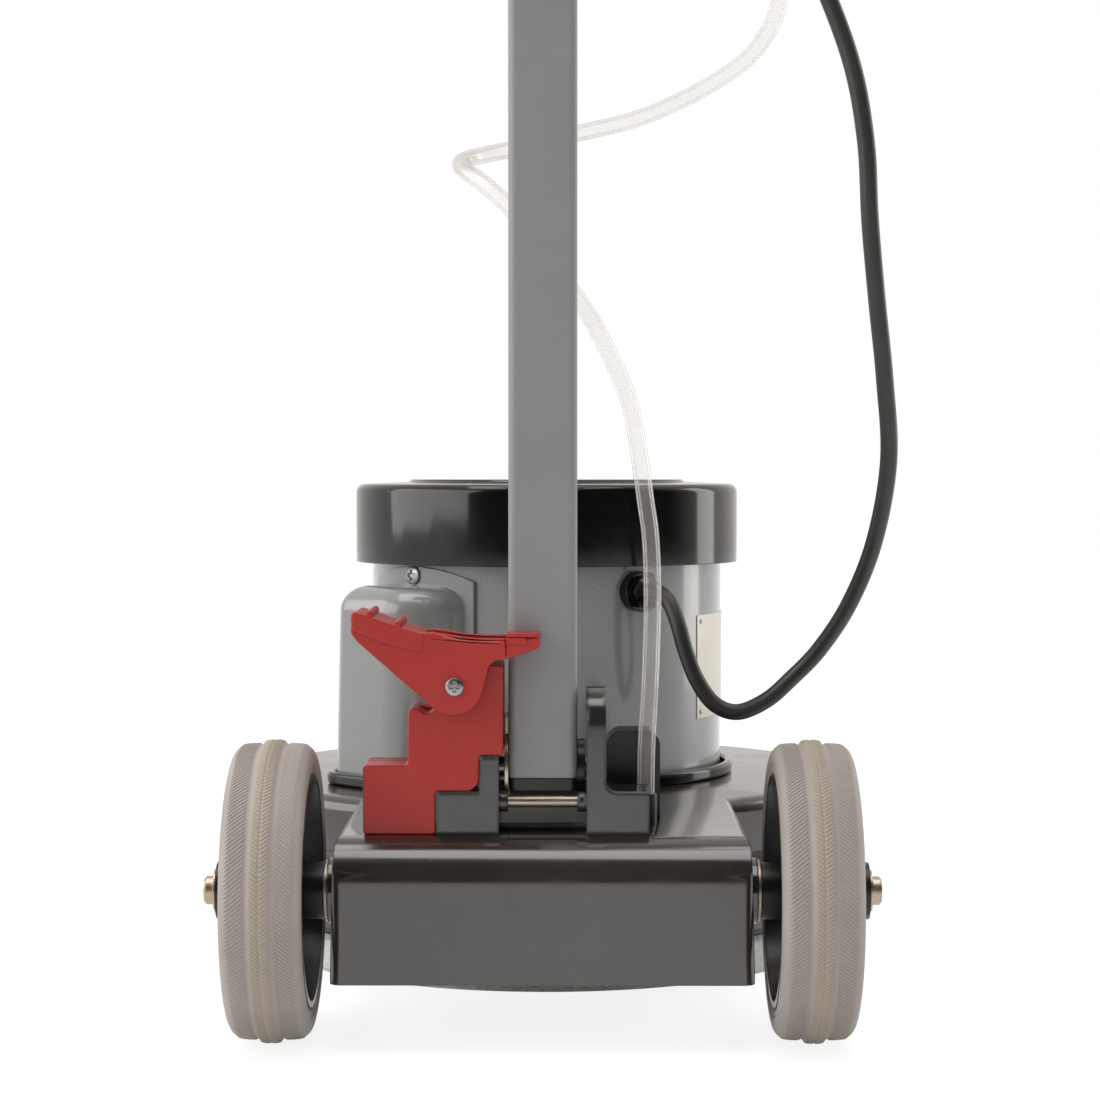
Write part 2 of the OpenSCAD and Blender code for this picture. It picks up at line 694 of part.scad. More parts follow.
module bracket_foot(s) along_y(bracket_back, bracket_back + foot_len) mirror([s < 0 ? 1 : 0, 0]) {
    translate([ear_in, deck_top]) square([foot_x - ear_in, foot_h]);
    difference() {
        translate([ear_out - 1, deck_top + foot_h - 1]) square(seat_fillet + 1);
        translate([ear_out + seat_fillet, deck_top + foot_h + seat_fillet]) circle(seat_fillet);
    }
}

module handle_bracket() color(gloss_black) difference() {
    union() {
        bracket_foot(1);
        along_y(bracket_back, bracket_back + foot_len) translate([-foot_x, deck_top])
            square([foot_x - ear_in, foot_h]);
        along_x(ear_in, ear_out) ear_side(ear_h, lobe_r);
        // The left ear ends under the lock block
        along_x(-ear_out, -ear_in) translate([bracket_back, deck_top]) square([ear_len, left_ear_h]);
        translate([-ear_in - 1, bracket_back + 22, deck_top]) cube([ear_gap + 2, ear_len - 22, web_h]);
        for (s = [-1, 1]) rod_x(s > 0 ? tube_w / 2 : -ear_in - 1, s > 0 ? ear_in + 1 : -tube_w / 2,
            tie_boss_r, tie_y, tie_z);
    }
    rod_x(-ear_out - 1, ear_out + 1, pivot_d / 2, pivot_y, pivot_z);
    rod_x(-tube_w / 2 - 8, tube_w / 2 + 8, tie_r, tie_y, tie_z);
}

module tie_rod() color(zinc) rod_x(-tube_w / 2 - 8, tube_w / 2 + 8, tie_r, tie_y, tie_z);

module pivot_pin() color(zinc) rod_x(-ear_out, ear_out, pivot_d / 2, pivot_y, pivot_z);

// Lock block: a stepped housing beside and over the left ear

block_y = axle_y - 8;
block_left = -103.7;
block_step_x = -77.6;
block_right = -22.8;
block_top = 191;
block_step = 161.2;
block_tower = 219;
tower_x = -36;
pedal_x = -50.3;
pedal_z = 207.5;
pedal_screw_d = 8;
boss_out_r = 11;
corner_r = 4.5;
under_foot = deck_top + foot_h;
under_ear = deck_top + left_ear_h;
lock_y = pivot_y;
lock_z = pivot_z + index_r;
slot_w = 7;
web_w = slot_w - 1.4;

module block_outline() {
    difference() {
        polygon([[block_left, deck_top], [-foot_x, deck_top], [-foot_x, under_foot], [-ear_out - 5, under_foot],
            [-ear_out, under_foot + 5], [-ear_out, under_ear], [block_right, under_ear],
            [block_right, block_tower], [tower_x, block_tower], [tower_x, block_top],
            [block_step_x + 9, block_top], [block_step_x + 6, block_top + 2.5], [block_step_x + corner_r, block_top + 2.5],
            [block_step_x + 1.3, block_top + 1.2], [block_step_x, block_top - 2],
            [block_step_x, block_step + 2], [block_step_x - 2, block_step],
            [block_left + corner_r, block_step], [block_left + 1.3, block_step - 1.3], [block_left, block_step - corner_r]]);
    }
    translate([pedal_x, pedal_z]) circle(boss_out_r);
    translate([pedal_x - boss_out_r, block_top - 1]) square([2 * boss_out_r, pedal_z - block_top + 1]);
}

module lock_block() color(lock_red) difference() {
    along_y(block_y, block_y + block_depth) block_outline();
    rod_y(block_y - 1, block_y + block_depth + 1, pedal_screw_d / 2, pedal_x, pedal_z);
    // Slot for the pedal's finger, down to the lock pin
    translate([pedal_x - 12, lock_y - slot_w / 2, lock_z]) cube([24, slot_w, 99]);
    // Bore of the lock pin, and the wider room of its collars
    rod_x(pedal_x - 15, 0, lock_pin_d / 2 + run, lock_y, lock_z);
    rod_x(pedal_x - collar_at - collar_t - 1, pedal_x + collar_at + collar_t + lock_travel + 1,
        collar_r + gap, lock_y, lock_z);
}

module pedal_screw() color(zinc) {
    rod_y(pedal_front - 0.3, block_y + block_depth, pedal_screw_d / 2, pedal_x, pedal_z);
    translate([pedal_x, 0, 0]) pan_screw(-pedal_front + 0.3, pedal_z, 5.2);
}

collar_r = 8;
collar_t = 3;
finger_r = 3;
collar_at = finger_r + 0.8;
pin_tip = block_right - 0.2;

// A pin with two collars that the pedal's finger stands between
module lock_pin() color(zinc) {
    rod_x(pedal_x - collar_at - collar_t - 4, pin_tip, lock_pin_d / 2, lock_y, lock_z);
    for (x = [-collar_at - collar_t, collar_at]) rod_x(pedal_x + x, pedal_x + x + collar_t, collar_r, lock_y, lock_z);
}

// Foot pedal

pedal_front = axle_y - 20;
plate_back = axle_y - 8.6;
pad_back = axle_y + 32;
finger_z = lock_z + lock_pin_d / 2 + 0.4;

lip_end = -21.2;
catch_x = [-tube_w / 2 - 0.6, 0];
catch_back = axle_y - 16;

// Rear view of the pedal's front plate: a pad on each side of a round hub
module pedal_outline() {
    polygon([[-108.9, 237], [-106.1, 233.2], [-64.5, 197.3], [pedal_x, pedal_z], [-32.8, 202], [-30.5, 217.1],
        [-29.1, 220.4], [-25.8, 222], [lip_end, 221.8], [lip_end, 234.2], [-48.5, 234.3], [-58, 236],
        [-67.3, 237.5], [-88, 243], [-107.4, 249.8], [-108.9, 247]]);
    translate([pedal_x, pedal_z]) circle(16.6);
}

// The pads, a thick shell above the block
module pad_outline() polygon([[-108.9, 240], [-107, 238.5], [-88, 233.5], [-66, 229], [-56, 227.5], [-30, 227.2],
    [lip_end, 228], [lip_end, 238.2], [-39, 238.3], [-48.5, 238.6], [-58, 241], [-66, 242.2], [-69.3, 240.4],
    [-88, 246], [-97.6, 250.7], [-107.4, 252.3], [-108.9, 250]]);

// Grooves between the long lips of the right pad
module lip_grooves(x0, x1) for (k = [0:2]) along_y(pedal_front + 7 + k * 12, pedal_front + 10 + k * 12)
    translate([x0, 236.2]) square([x1 - x0, 9]);

module foot_pedal() color(lock_red) difference() {
    union() {
        along_y(pedal_front, plate_back) pedal_outline();
        along_y(pedal_front + 4, pad_back) pad_outline();
        for (p = [[-98.5, 249.2], [-81.5, 244.2]]) along_y(pedal_front, pad_back)
            translate(p) circle(2.4, $fn = 24);
        // The finger that pushes the lock pin
        along_y(lock_y - web_w / 2, lock_y + web_w / 2) {
            translate([pedal_x - 7, pedal_z - 9]) square([14, 30]);
            translate([pedal_x - finger_r, finger_z]) square([2 * finger_r, 20]);
        }
    }
    rod_y(pedal_front - 1, pad_back + 1, pedal_screw_d / 2 + run, pedal_x, pedal_z);
    lip_grooves(-66, lip_end + 1);
}

// Handle, upright at rest

disc_t = 2.2;
index_disc_r = 32;
index_mid_r = norm([pivot_y - tie_y, pivot_z - tie_z]) - tie_boss_r - 0.8;
side_disc_r = 16.5;
side_disc_t = 4.6;
tube_z = pivot_z - 4.4;
tube_r = 5;
foot_drop = 7.6;
foot_plug_h = 60;

// The middle of the square tube
module at_tube(z) translate([0, pivot_y, z]) children();

module handle_tube() color(paint_grey) difference() {
    union() {
        hook_stud();
        at_tube(tube_z) difference() {
            round_box(tube_w, tube_w, tube_top - tube_z, tube_r);
            translate([0, 0, -1]) round_box(tube_w - 2 * tube_wall, tube_w - 2 * tube_wall, tube_top - tube_z + 2,
                tube_r - tube_wall);
        }
    }
    rod_x(-tube_w, tube_w, pivot_d / 2 + run, pivot_y, pivot_z);
}

// The stud that the upper hook swivels on
module hook_stud() translate([0, pivot_y - tube_w / 2, hook_z[1]])
    rod_y(-hook_stud_l, tube_wall / 2, hook_pin_r, 0, 0);

module tube_foot() color(gloss_black) difference() {
    union() {
        at_tube(tube_z - foot_drop) round_box(tube_w - 1, tube_w - 1, foot_drop, 4);
        at_tube(tube_z - 1) round_box(tube_w - 2 * tube_wall, tube_w - 2 * tube_wall, foot_plug_h, tube_r - tube_wall);
    }
    rod_x(-tube_w, tube_w, pivot_d / 2 + run, pivot_y, pivot_z);
}

// A steel disc with index holes on the left of the tube, and a plain black one on the right
module pivot_discs() color(zinc) {
    difference() {
        // A round middle that clears the tie rod, and a sector that holds the index holes
        along_x(-tube_w / 2 - disc_t, -tube_w / 2) translate([pivot_y, pivot_z]) {
            circle(index_mid_r);
            intersection() {
                circle(index_disc_r);
                translate([-10, -6]) square(2 * index_disc_r);
            }
        }
        rod_x(-tube_w, 0, pivot_d / 2 + run, pivot_y, pivot_z);
        for (a = [0, tilt_range / 2, tilt_range])
            rod_x(-tube_w, 0, lock_pin_d / 2 + gap, pivot_y + index_r * sin(a), pivot_z + index_r * cos(a));
    }
    difference() {
        rod_x(tube_w / 2, tube_w / 2 + side_disc_t, side_disc_r, pivot_y, pivot_z);
        rod_x(0, tube_w, pivot_d / 2 + run, pivot_y, pivot_z);
    }
}

// The red lip in front of the tube, in line with the pedal's right pad
module tube_catch() color(lock_red) difference() {
    along_y(catch_back, pivot_y - tube_w / 2) polygon([[catch_x[0], 222.3], [-3.5, 228.9], [-0.6, 231.6],
        [catch_x[1], 234.2], [-0.4, 237.4], [-1.4, 238.1], [catch_x[0], 238.2]]);
    lip_grooves(catch_x[0] - 1, -2.5);
}

// Head with the hand bar, levers and safety button

head_w = 124;
head_z = tube_top - 35;
head_h = 92;
head_y = [pivot_y - 42, pivot_y + 46];
bar_z = head_z + 60;
bar_y = pivot_y - 12;
grip_in = 68;
bar_wall = 2.5;
lever_x = 58;
lever_y = bar_y;
lever_z = bar_z - 33;
lever_len = 104;
button_r = 11;
button_z = head_z + 56;

// Side view of the head: a wedge with a sloping operator's face and round edges
module head_side(inset) hull() {
    for (p = [[head_y[0] + 9, head_z + 12], [head_y[1] - 9, head_z + 9], [head_y[0] + 9, head_z + head_h - 26],
            [head_y[0] + 34, head_z + head_h - 10], [head_y[1] - 12, head_z + head_h - 10]])
        translate(p) circle(9 - inset, $fn = fn_hull);
}

module head_housing() color(gloss_black) difference() {
    intersection() {
        along_x(-head_w / 2, head_w / 2) head_side(0);
        translate([0, (head_y[0] + head_y[1]) / 2, head_z - 10]) round_box(head_w, 120, head_h + 30, 14);
    }
    // The tube, the hand bar and the button's well
    at_tube(head_z - 20) linear_extrude(tube_top - head_z + 20) square(tube_w, center = true);
    rod_x(-head_w, head_w, bar_d / 2, bar_y, bar_z);
    rod_y(head_y[0] - 5, head_y[0] + 12, button_r + gap, 0, button_z);
    // Pockets for the lever pins
    for (s = [-1, 1]) translate([s > 0 ? lever_x - 9 : -lever_x - 15, lever_y - 8, lever_z - 12]) cube([24, 16, 24]);
    for (s = [-1, 1]) rod_y(head_y[0] - 5, head_y[1] + 5, 3, s * (lever_x - 2), lever_z);
}

grip_start = 4;
grip_cap = 7;
grip_run = bar_span / 2 - grip_in - grip_cap;

module hand_bar() color(steel) difference() {
    rod_x(-grip_in - grip_run, grip_in + grip_run, bar_d / 2, bar_y, bar_z);
    rod_x(-bar_span, bar_span, bar_d / 2 - bar_wall, bar_y, bar_z);
}

// Places its child at the start of a grip, with z along the grip
module at_grip(s) mirror([s < 0 ? 1 : 0, 0, 0]) translate([grip_in, bar_y, bar_z]) rotate([0, 90, 0])
    children();

module hand_grips() color(rubber_black) for (s = [-1, 1]) at_grip(s) difference() {
    union() {
        translate([0, 0, grip_start]) cylinder(r = grip_d / 2, h = grip_run - grip_start + 4);
        translate([0, 0, grip_start]) cylinder(r = grip_d / 2 + 4, h = 5);
        translate([0, 0, grip_run + grip_cap - 5]) cylinder(r = grip_d / 2 + 2, h = 5);
        for (k = [0:6]) translate([0, 0, grip_start + 16 + k * 12]) rotate_extrude()
            translate([grip_d / 2 - 0.6, 0]) circle(1.8, $fn = 16);
    }
    translate([0, 0, -1]) cylinder(r = bar_d / 2, h = grip_run + 1);
}

// A paddle under each grip; it turns up about a pin in the head
module lever(s) color(gloss_black) mirror([s < 0 ? 1 : 0, 0, 0]) translate([lever_x - 2, lever_y, lever_z]) {
    difference() {
        union() {
            along_y(-6, 6) {
                circle(7);
                translate([0, -7]) square([20, 12]);
            }
            along_y(-8, 8) translate([14, -7]) {
                square([lever_len - 22, 9]);
                translate([lever_len - 22, 4.5]) circle(4.5);
            }
        }
        rod_y(-10, 10, 3 + run, 0, 0);
    }
}

module lever_left() lever(-1);
module lever_right() lever(1);

module safety_button() color([0.85, 0.65, 0.10]) {
    rod_y(head_y[0] - 4, head_y[0] + 8, button_r, 0, button_z);
}

head_gland_x = [34, -34];
head_gland_y = pivot_y + 12;
module head_glands() color(rubber_black) for (x = head_gland_x) translate([x, head_gland_y, head_z - gland_len]) {
    difference() {
        union() {
            translate([0, 0, gland_len - 6]) cylinder(r = 11, h = 6);
            cylinder(r1 = cable_d / 2 + 1.6, r2 = 9, h = gland_len - 6);
        }
        if (x < 0) translate([0, 0, -1]) cylinder(r = cable_d / 2, h = 8);
    }
}

// Hooks for the lead on the tube's rear face
hook_w = 16;
hook_reach = 46;
hook_up = 34;
hook_z = [760, 985];
hook_pin_r = 5;
hook_hub_t = 9;
hook_stud_l = 6;
module hook_outline() {
    translate([0, -hook_w / 2]) square([hook_reach, 10]);
    translate([hook_reach - 10, -hook_w / 2]) square([10, hook_up]);
    translate([hook_reach - 5, hook_up - hook_w / 2]) circle(5);
}

module hook_body() {
    rod_y(-hook_hub_t, -gap, 14, 0, 0);
    rotate([90, 0, -90]) translate([0, 0, -hook_w / 2]) linear_extrude(hook_w)
        translate([hook_hub_t - 2, 0]) hook_outline();
}

module cord_hook() color(gloss_black) translate([0, pivot_y - tube_w / 2, hook_z[1]]) difference() {
    hook_body();
    rod_y(-hook_stud_l - gap, 1, hook_pin_r + run, 0, 0);
}

module lower_hook() color(gloss_black) translate([0, pivot_y - tube_w / 2, hook_z[0]]) rotate([0, 180, 0]) union() {
    hook_body();
    rod_y(-gap - eps, 0, 14, 0, 0);
}

// Solution tank on the front of the tube

tank_y = pivot_y + tube_w / 2 + 6;
tank_r = 26;
neck_r = 42;
neck_h = 12;
lid_r = 50;
lid_t = 8;
tank_top = tank_z + tank_h;
neck_y = tank_y + tank_depth / 2;
hinge_y = neck_y - lid_r - 8;
hinge_z = tank_top + neck_h + 4;
tap_y = tank_y + tank_depth - 40;
tap_z = tank_z + 22;
tap_x = tank_w / 2 + 24;
barb_z = tap_z - 24;

module tank_form(grow) translate([0, tank_y + tank_depth / 2, tank_z - grow]) hull() {
    translate([0, 0, 12]) linear_extrude(tank_h + 2 * grow - 24) tank_plan(grow, 0);
    linear_extrude(tank_h + 2 * grow) tank_plan(grow, 10);
    translate([0, 0, 3.5]) linear_extrude(tank_h + 2 * grow - 7) tank_plan(grow, 3.5);
}

module tank_plan(grow, inset) round_rect(tank_w + 2 * (grow - inset), tank_depth + 2 * (grow - inset),
    tank_r + grow - inset, $fn = fn_hull);

module solution_tank() color(tank_white) difference() {
    union() {
        tank_form(0);
        translate([0, neck_y, tank_top - 2]) cylinder(r = neck_r, h = neck_h + 2);
        // Ears of the lid's hinge
        for (s = [-1, 1]) translate([s * 16 - 4, hinge_y - 6, tank_top - 1]) cube([8, 12, hinge_z - tank_top + 7.5]);
    }
    tank_form(-tank_wall);
    translate([0, neck_y, tank_top - 20]) cylinder(r = neck_r - tank_wall, h = 60);
    rod_x(-60, 60, 3, hinge_y, hinge_z);
    rod_x(0, tank_w, 8 + run, tap_y, tap_z);
}

module tank_lid() color(gloss_black) difference() {
    union() {
        translate([0, neck_y, tank_top + neck_h + gap]) cylinder(r = lid_r, h = lid_t);
        translate([-11.5, hinge_y, tank_top + neck_h + gap]) cube([23, neck_y - hinge_y - 20, lid_t - 1]);
        rod_x(-11.5, 11.5, 6, hinge_y, hinge_z);
        translate([-14, neck_y + lid_r - 4, tank_top + neck_h + gap]) cube([28, 12, 5]);
    }
    rod_x(-60, 60, 3 + run, hinge_y, hinge_z);
    translate([0, neck_y, tank_top + neck_h - 1]) cylinder(r = neck_r - 8, h = 5);
}

// Straps round the tube that carry the tank
module tank_bracket() color(paint_grey) {
    for (z = [tank_z + 45, tank_top - 60]) translate([0, 0, z]) difference() {
        union() {
            translate([-tube_w / 2 - 3, pivot_y - tube_w / 2 - 3, 0]) cube([tube_w + 6, tube_w + 6 + 3, 22]);
            translate([-50, tank_y - 3, 0]) cube([100, 3, 22]);
        }
        translate([0, pivot_y, -1]) linear_extrude(30) round_rect(tube_w, tube_w, tube_r);
    }
    // The pin of the lid's hinge
    rod_x(-20, 20, 3, hinge_y, hinge_z);
}

module tank_tap() color(gloss_black) difference() {
    union() {
        rod_x(tank_w / 2 - tank_wall - 3, tap_x, 8, tap_y, tap_z);
        rod_x(tank_w / 2, tank_w / 2 + 4, 13, tap_y, tap_z);
        translate([tap_x, tap_y, tap_z]) sphere(r = 11);
        translate([tap_x, tap_y, barb_z]) cylinder(r = 6.5, h = tap_z - barb_z);
        translate([tap_x, tap_y, tap_z]) cylinder(r = 7, h = 16);
    }
    rod_x(tank_w / 2 - 20, tap_x, 3.5, tap_y, tap_z);
    translate([tap_x, tap_y, tap_z + 6]) cylinder(r = 4 + run, h = 20);
}

module tap_lever() color(lock_red) translate([tap_x, tap_y, tap_z]) {
    translate([0, 0, 7]) cylinder(r = 4, h = 9.4 + gap);
    translate([0, 0, 16 + gap]) cylinder(r = 8, h = 6);
    translate([-5, 0, 16 + gap]) cube([10, 34, 5]);
    translate([0, 34, 16 + gap]) cylinder(r = 5, h = 5);
}

// Hose inlet on the deck

inlet_x = [38, 70];
inlet_y = [axle_y + 55, axle_y + 84];
inlet_h = 54;
hose_foot = [61, axle_y + 40, deck_top + 18];

module hose_inlet() color(gloss_black) difference() {
    union() {
        along_y(inlet_y[0], inlet_y[1]) {
            translate([inlet_x[0], deck_top]) square([inlet_x[1] - inlet_x[0], inlet_h - 9]);
            translate([inlet_x[0] + 9, deck_top]) square([inlet_x[1] - inlet_x[0] - 18, inlet_h]);
            for (x = [inlet_x[0] + 9, inlet_x[1] - 9]) translate([x, deck_top + inlet_h - 9]) circle(9);
        }
        translate([hose_foot[0], hose_foot[1], deck_top]) cylinder(r = 6.4, h = hose_foot[2] - deck_top);
        rod_y(hose_foot[1], inlet_y[0] + 2, 5, hose_foot[0], deck_top + 8);
    }
    translate([hose_foot[0], hose_foot[1], deck_top + 8]) cylinder(r = 3, h = 30);
}

// Cords: each follows its route's points on one smooth curve

// From the motor's gland, down in a loop at the right and up to the head
cable_route = [[69, -19.25, 251], [74.5, -28.8, 251], [81, -39.5, 245], [86, -47, 232], [91, -51, 214],
    [98, -55, 196], [109, -59, 181], [124, -62, 176], [142, -66, 184], [157, -72, 198], [174, -85, 218],
    [190, -110, 248], [202, -140, 288], [207, -168, 337], [202, -188, 385], [196, -198, 431], [191, -205, 477],
    [188, -208, 523], [179, -208, 570], [158, -207, 625], [128, -204, 690], [97, -201, 770], [70, -198, 850],
    [46, -195, 925], [36, -194, 965], [34, -193.75, 988], [34, -193.75, 1000], [34, -193.75, 1011.9]];

// From the deck's inlet, up behind the tube, round at the left and up to the tank's tap
hose_route = [[61, -187.75, 139], [61, -187.75, 150], [61.5, -187, 172], [63.5, -185, 205], [65, -181, 254],
    [64, -177.5, 290], [61, -174.5, 313], [57, -171.5, 343], [52, -169, 370], [44, -167, 391], [34, -165, 412],
    [24, -163, 429], [2, -160, 460], [-21, -155.5, 490], [-38, -146, 506], [-48.5, -132, 515],
    [-51.5, -116, 521], [-47, -98, 526], [-37, -85, 530], [-22, -77, 534], [0, -73, 539], [21, -71, 545],
    [60, -69, 555], [98, -69, 572], [127, -69.5, 591], [141.5, -69.75, 609], [147.8, -69.75, 624],
    [149, -69.75, 635], [149, -69.75, 641], [149, -69.75, 647.9]];

cord_sides = 8;
cord_steps = 2;

// A smooth curve through the points, with n steps to a stretch
function curve(p, n) = let (m = len(p) - 1) concat([for (i = [0:m - 1], k = [0:n - 1])
    let (a = p[max(i - 1, 0)], b = p[i], c = p[i + 1], d = p[min(i + 2, m)], t = k / n)
    0.5 * (2 * b + (c - a) * t + (2 * a - 5 * b + 4 * c - d) * t * t + (3 * b - a - 3 * c + d) * t * t * t)], [p[m]]);

function unit(v) = v / norm(v);

function heading(p, i) = unit(p[min(i + 1, len(p) - 1)] - p[max(i - 1, 0)]);

// A direction square to the curve at each point, turned as little as possible from one to the next
function sides_of(p, i = 0, out = []) = i == len(p) ? out : let (t = heading(p, i),
    prev = i == 0 ? (abs(t[2]) < 0.9 ? [0, 0, 1] : [1, 0, 0]) : out[i - 1])
    sides_of(p, i + 1, concat(out, [unit(prev - (prev * t) * t)]));

module cord(route, d) {
    p = curve(route, cord_steps);
    u = sides_of(p);
    points = [for (i = [0:len(p) - 1]) let (t = heading(p, i), v = cross(t, u[i]))
        for (k = [0:cord_sides - 1]) let (a = 360 * k / cord_sides)
            p[i] + d / 2 * (cos(a) * u[i] + sin(a) * v)];
    last = (len(p) - 1) * cord_sides;
    faces = concat([[for (k = [0:cord_sides - 1]) k]],
        [[for (k = [cord_sides - 1:-1:0]) last + k]],
        [for (i = [0:len(p) - 2], k = [0:cord_sides - 1]) let (a = i * cord_sides, b = (k + 1) % cord_sides)
            [a + k, a + cord_sides + k, a + cord_sides + b, a + b]]);
    polyhedron(points, faces);
}

module motor_cable() color(rubber_black) cord(cable_route, cable_d);
module solution_hose() color(clear_pvc) cord(hose_route, hose_d);

deck_housing();
bumper_ring();
gearbox_housing();
ring_gear();
bearings();
motor_housing();
stator();
motor_cover();
motor_rim();
capacitor_cover();
capacitor();
cover_screws();
cable_gland();
handle_bracket();
tie_rod();
pivot_pin();
lock_block();
pedal_screw();
axle_shaft();
axle_washers();
axle_caps();
hose_inlet();
motor_cable();
solution_hose();
rotor_shaft();
rotor_core();
cooling_fan();
sun_gear();
planet_carrier();
planet_pins();
drive_plate();
pad_driver();
floor_pad();
planet_gear_1();
planet_gear_2();
planet_gear_3();
tyre_left();
rim_left();
tyre_right();
rim_right();
foot_pedal();
lock_pin();
handle_tube();
tube_foot();
pivot_discs();
tube_catch();
head_housing();
hand_bar();
hand_grips();
head_glands();
solution_tank();
tank_bracket();
tank_tap();
lower_hook();
tank_lid();
lever_left();
lever_right();
safety_button();
cord_hook();
tap_lever();
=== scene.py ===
"""The looks of a single-disc floor machine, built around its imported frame.

The frame holds every rigid piece at its real size. This script gives each piece its finish, stands finer
meshes in for the pieces whose form needs them, and adds the cable, the hose, the light and the camera.
+Y points from the wheels to the motor, +X to the right and +Z up. Shapes are drawn in millimetres. The
finishes, the lamps and the camera are given in metres.
"""
import json
import logging
import math
from dataclasses import dataclass
from enum import Enum
from typing import Sequence

import bmesh
import bpy
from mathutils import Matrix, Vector


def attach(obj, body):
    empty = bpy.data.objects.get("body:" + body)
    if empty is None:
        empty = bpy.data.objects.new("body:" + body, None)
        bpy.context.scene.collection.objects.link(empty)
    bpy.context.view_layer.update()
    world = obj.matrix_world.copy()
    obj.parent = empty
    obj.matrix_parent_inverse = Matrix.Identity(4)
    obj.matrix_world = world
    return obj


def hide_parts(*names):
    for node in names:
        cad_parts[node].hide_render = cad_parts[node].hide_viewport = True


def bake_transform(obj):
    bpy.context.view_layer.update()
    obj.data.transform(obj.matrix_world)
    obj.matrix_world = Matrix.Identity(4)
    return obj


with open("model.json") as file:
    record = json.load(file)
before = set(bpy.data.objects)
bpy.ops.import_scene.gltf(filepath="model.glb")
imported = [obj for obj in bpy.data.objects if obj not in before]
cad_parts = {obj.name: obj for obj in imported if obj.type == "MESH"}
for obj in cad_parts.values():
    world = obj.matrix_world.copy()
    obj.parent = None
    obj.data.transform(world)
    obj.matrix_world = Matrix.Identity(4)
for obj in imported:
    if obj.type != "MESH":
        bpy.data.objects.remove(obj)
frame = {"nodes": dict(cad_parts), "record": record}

log = logging.getLogger("floor_machine")

Point2 = tuple[float, float]
Point3 = tuple[float, float, float]
Outline = tuple[Point2, ...]
Rgb = tuple[float, float, float]
Socket = bpy.types.NodeSocket

MM = 0.001
QUARTER = math.pi / 2
UP = Vector((0, 0, 1))
# The angle from which an edge stays sharp, and the distance in metres under which two points become one.
SHARP_ANGLE = math.radians(32)
DOUBLE = 1e-6
# Faces across a rounded edge, and points from one knot of a curve to the next.
EDGE_STEPS = 3
CURVE_STEPS = 8
# A sharp corner of an inset outline moves no further than this allows.
MITRE_LEAST = 0.35
# The most of an edge that the rounding of a corner takes up.
EDGE_SHARE = 0.48
# A path that starts closer to upright than this, as a sine, takes its first side from X.
STEEP = 0.01


class Side(Enum):
    """A side of the machine as seen from behind, with its sign along X."""

    LEFT = -1
    RIGHT = 1


class Graph:
    """The shader nodes of a material or of the world, added and linked with short calls."""

    def __init__(self, owner: bpy.types.Material | bpy.types.World, output: str) -> None:
        """Empties the owner's nodes and adds its output.

        Args:
            owner: The material or the world.
            output: The kind of its output node.
        """
        owner.use_nodes = True
        self.owner = owner
        self.tree = owner.node_tree
        self.tree.nodes.clear()
        self.surface = self.add(output).inputs["Surface"]

    def feed(self, socket: Socket, value: object) -> None:
        """Links an output to an input, or sets the input to a plain value.

        Args:
            socket: The input.
            value: The output or the plain value.
        """
        if isinstance(value, Socket):
            self.tree.links.new(value, socket)
        else:
            socket.default_value = value

    def fill(self, node: bpy.types.Node, **inputs: object) -> None:
        """Feeds a node's inputs by name, with an underscore for each space in a name."""
        for key, value in inputs.items():
            self.feed(node.inputs[key.replace("_", " ")], value)

    def add(self, kind: str, *first: object, **inputs: object) -> bpy.types.Node:
        """Adds a node.

        Args:
            kind: The node's kind, without the ShaderNode that it starts with.
            first: What its first inputs are fed with, in order.
            inputs: What further inputs are fed with, by name.

        Returns:
            The node.
        """
        node = self.tree.nodes.new("ShaderNode" + kind)
        for socket, value in zip(node.inputs, first):
            self.feed(socket, value)
        self.fill(node, **inputs)
        return node

    def span(self, value: Socket, low: float, high: float, to_low: object = 0.0,
             to_high: object = 1.0) -> Socket:
        """Maps a value from one range to another, and clamps it there."""
        return self.add("MapRange", Value=value, From_Min=low, From_Max=high, To_Min=to_low,
                        To_Max=to_high).outputs[0]

    def calc(self, operation: str, a: object, b: object = 0.0) -> Socket:
        """Adds a Math node.

        Args:
            operation: What it works out.
            a: Its first value.
            b: Its second value.

        Returns:
            The result.
        """
        node = self.add("Math", a, b)
        node.operation = operation
        return node.outputs[0]

    def join(self, factor: Socket, a: Socket, b: Socket) -> Socket:
        """Returns a mix of two shaders."""
        return self.add("MixShader", factor, a, b).outputs[0]


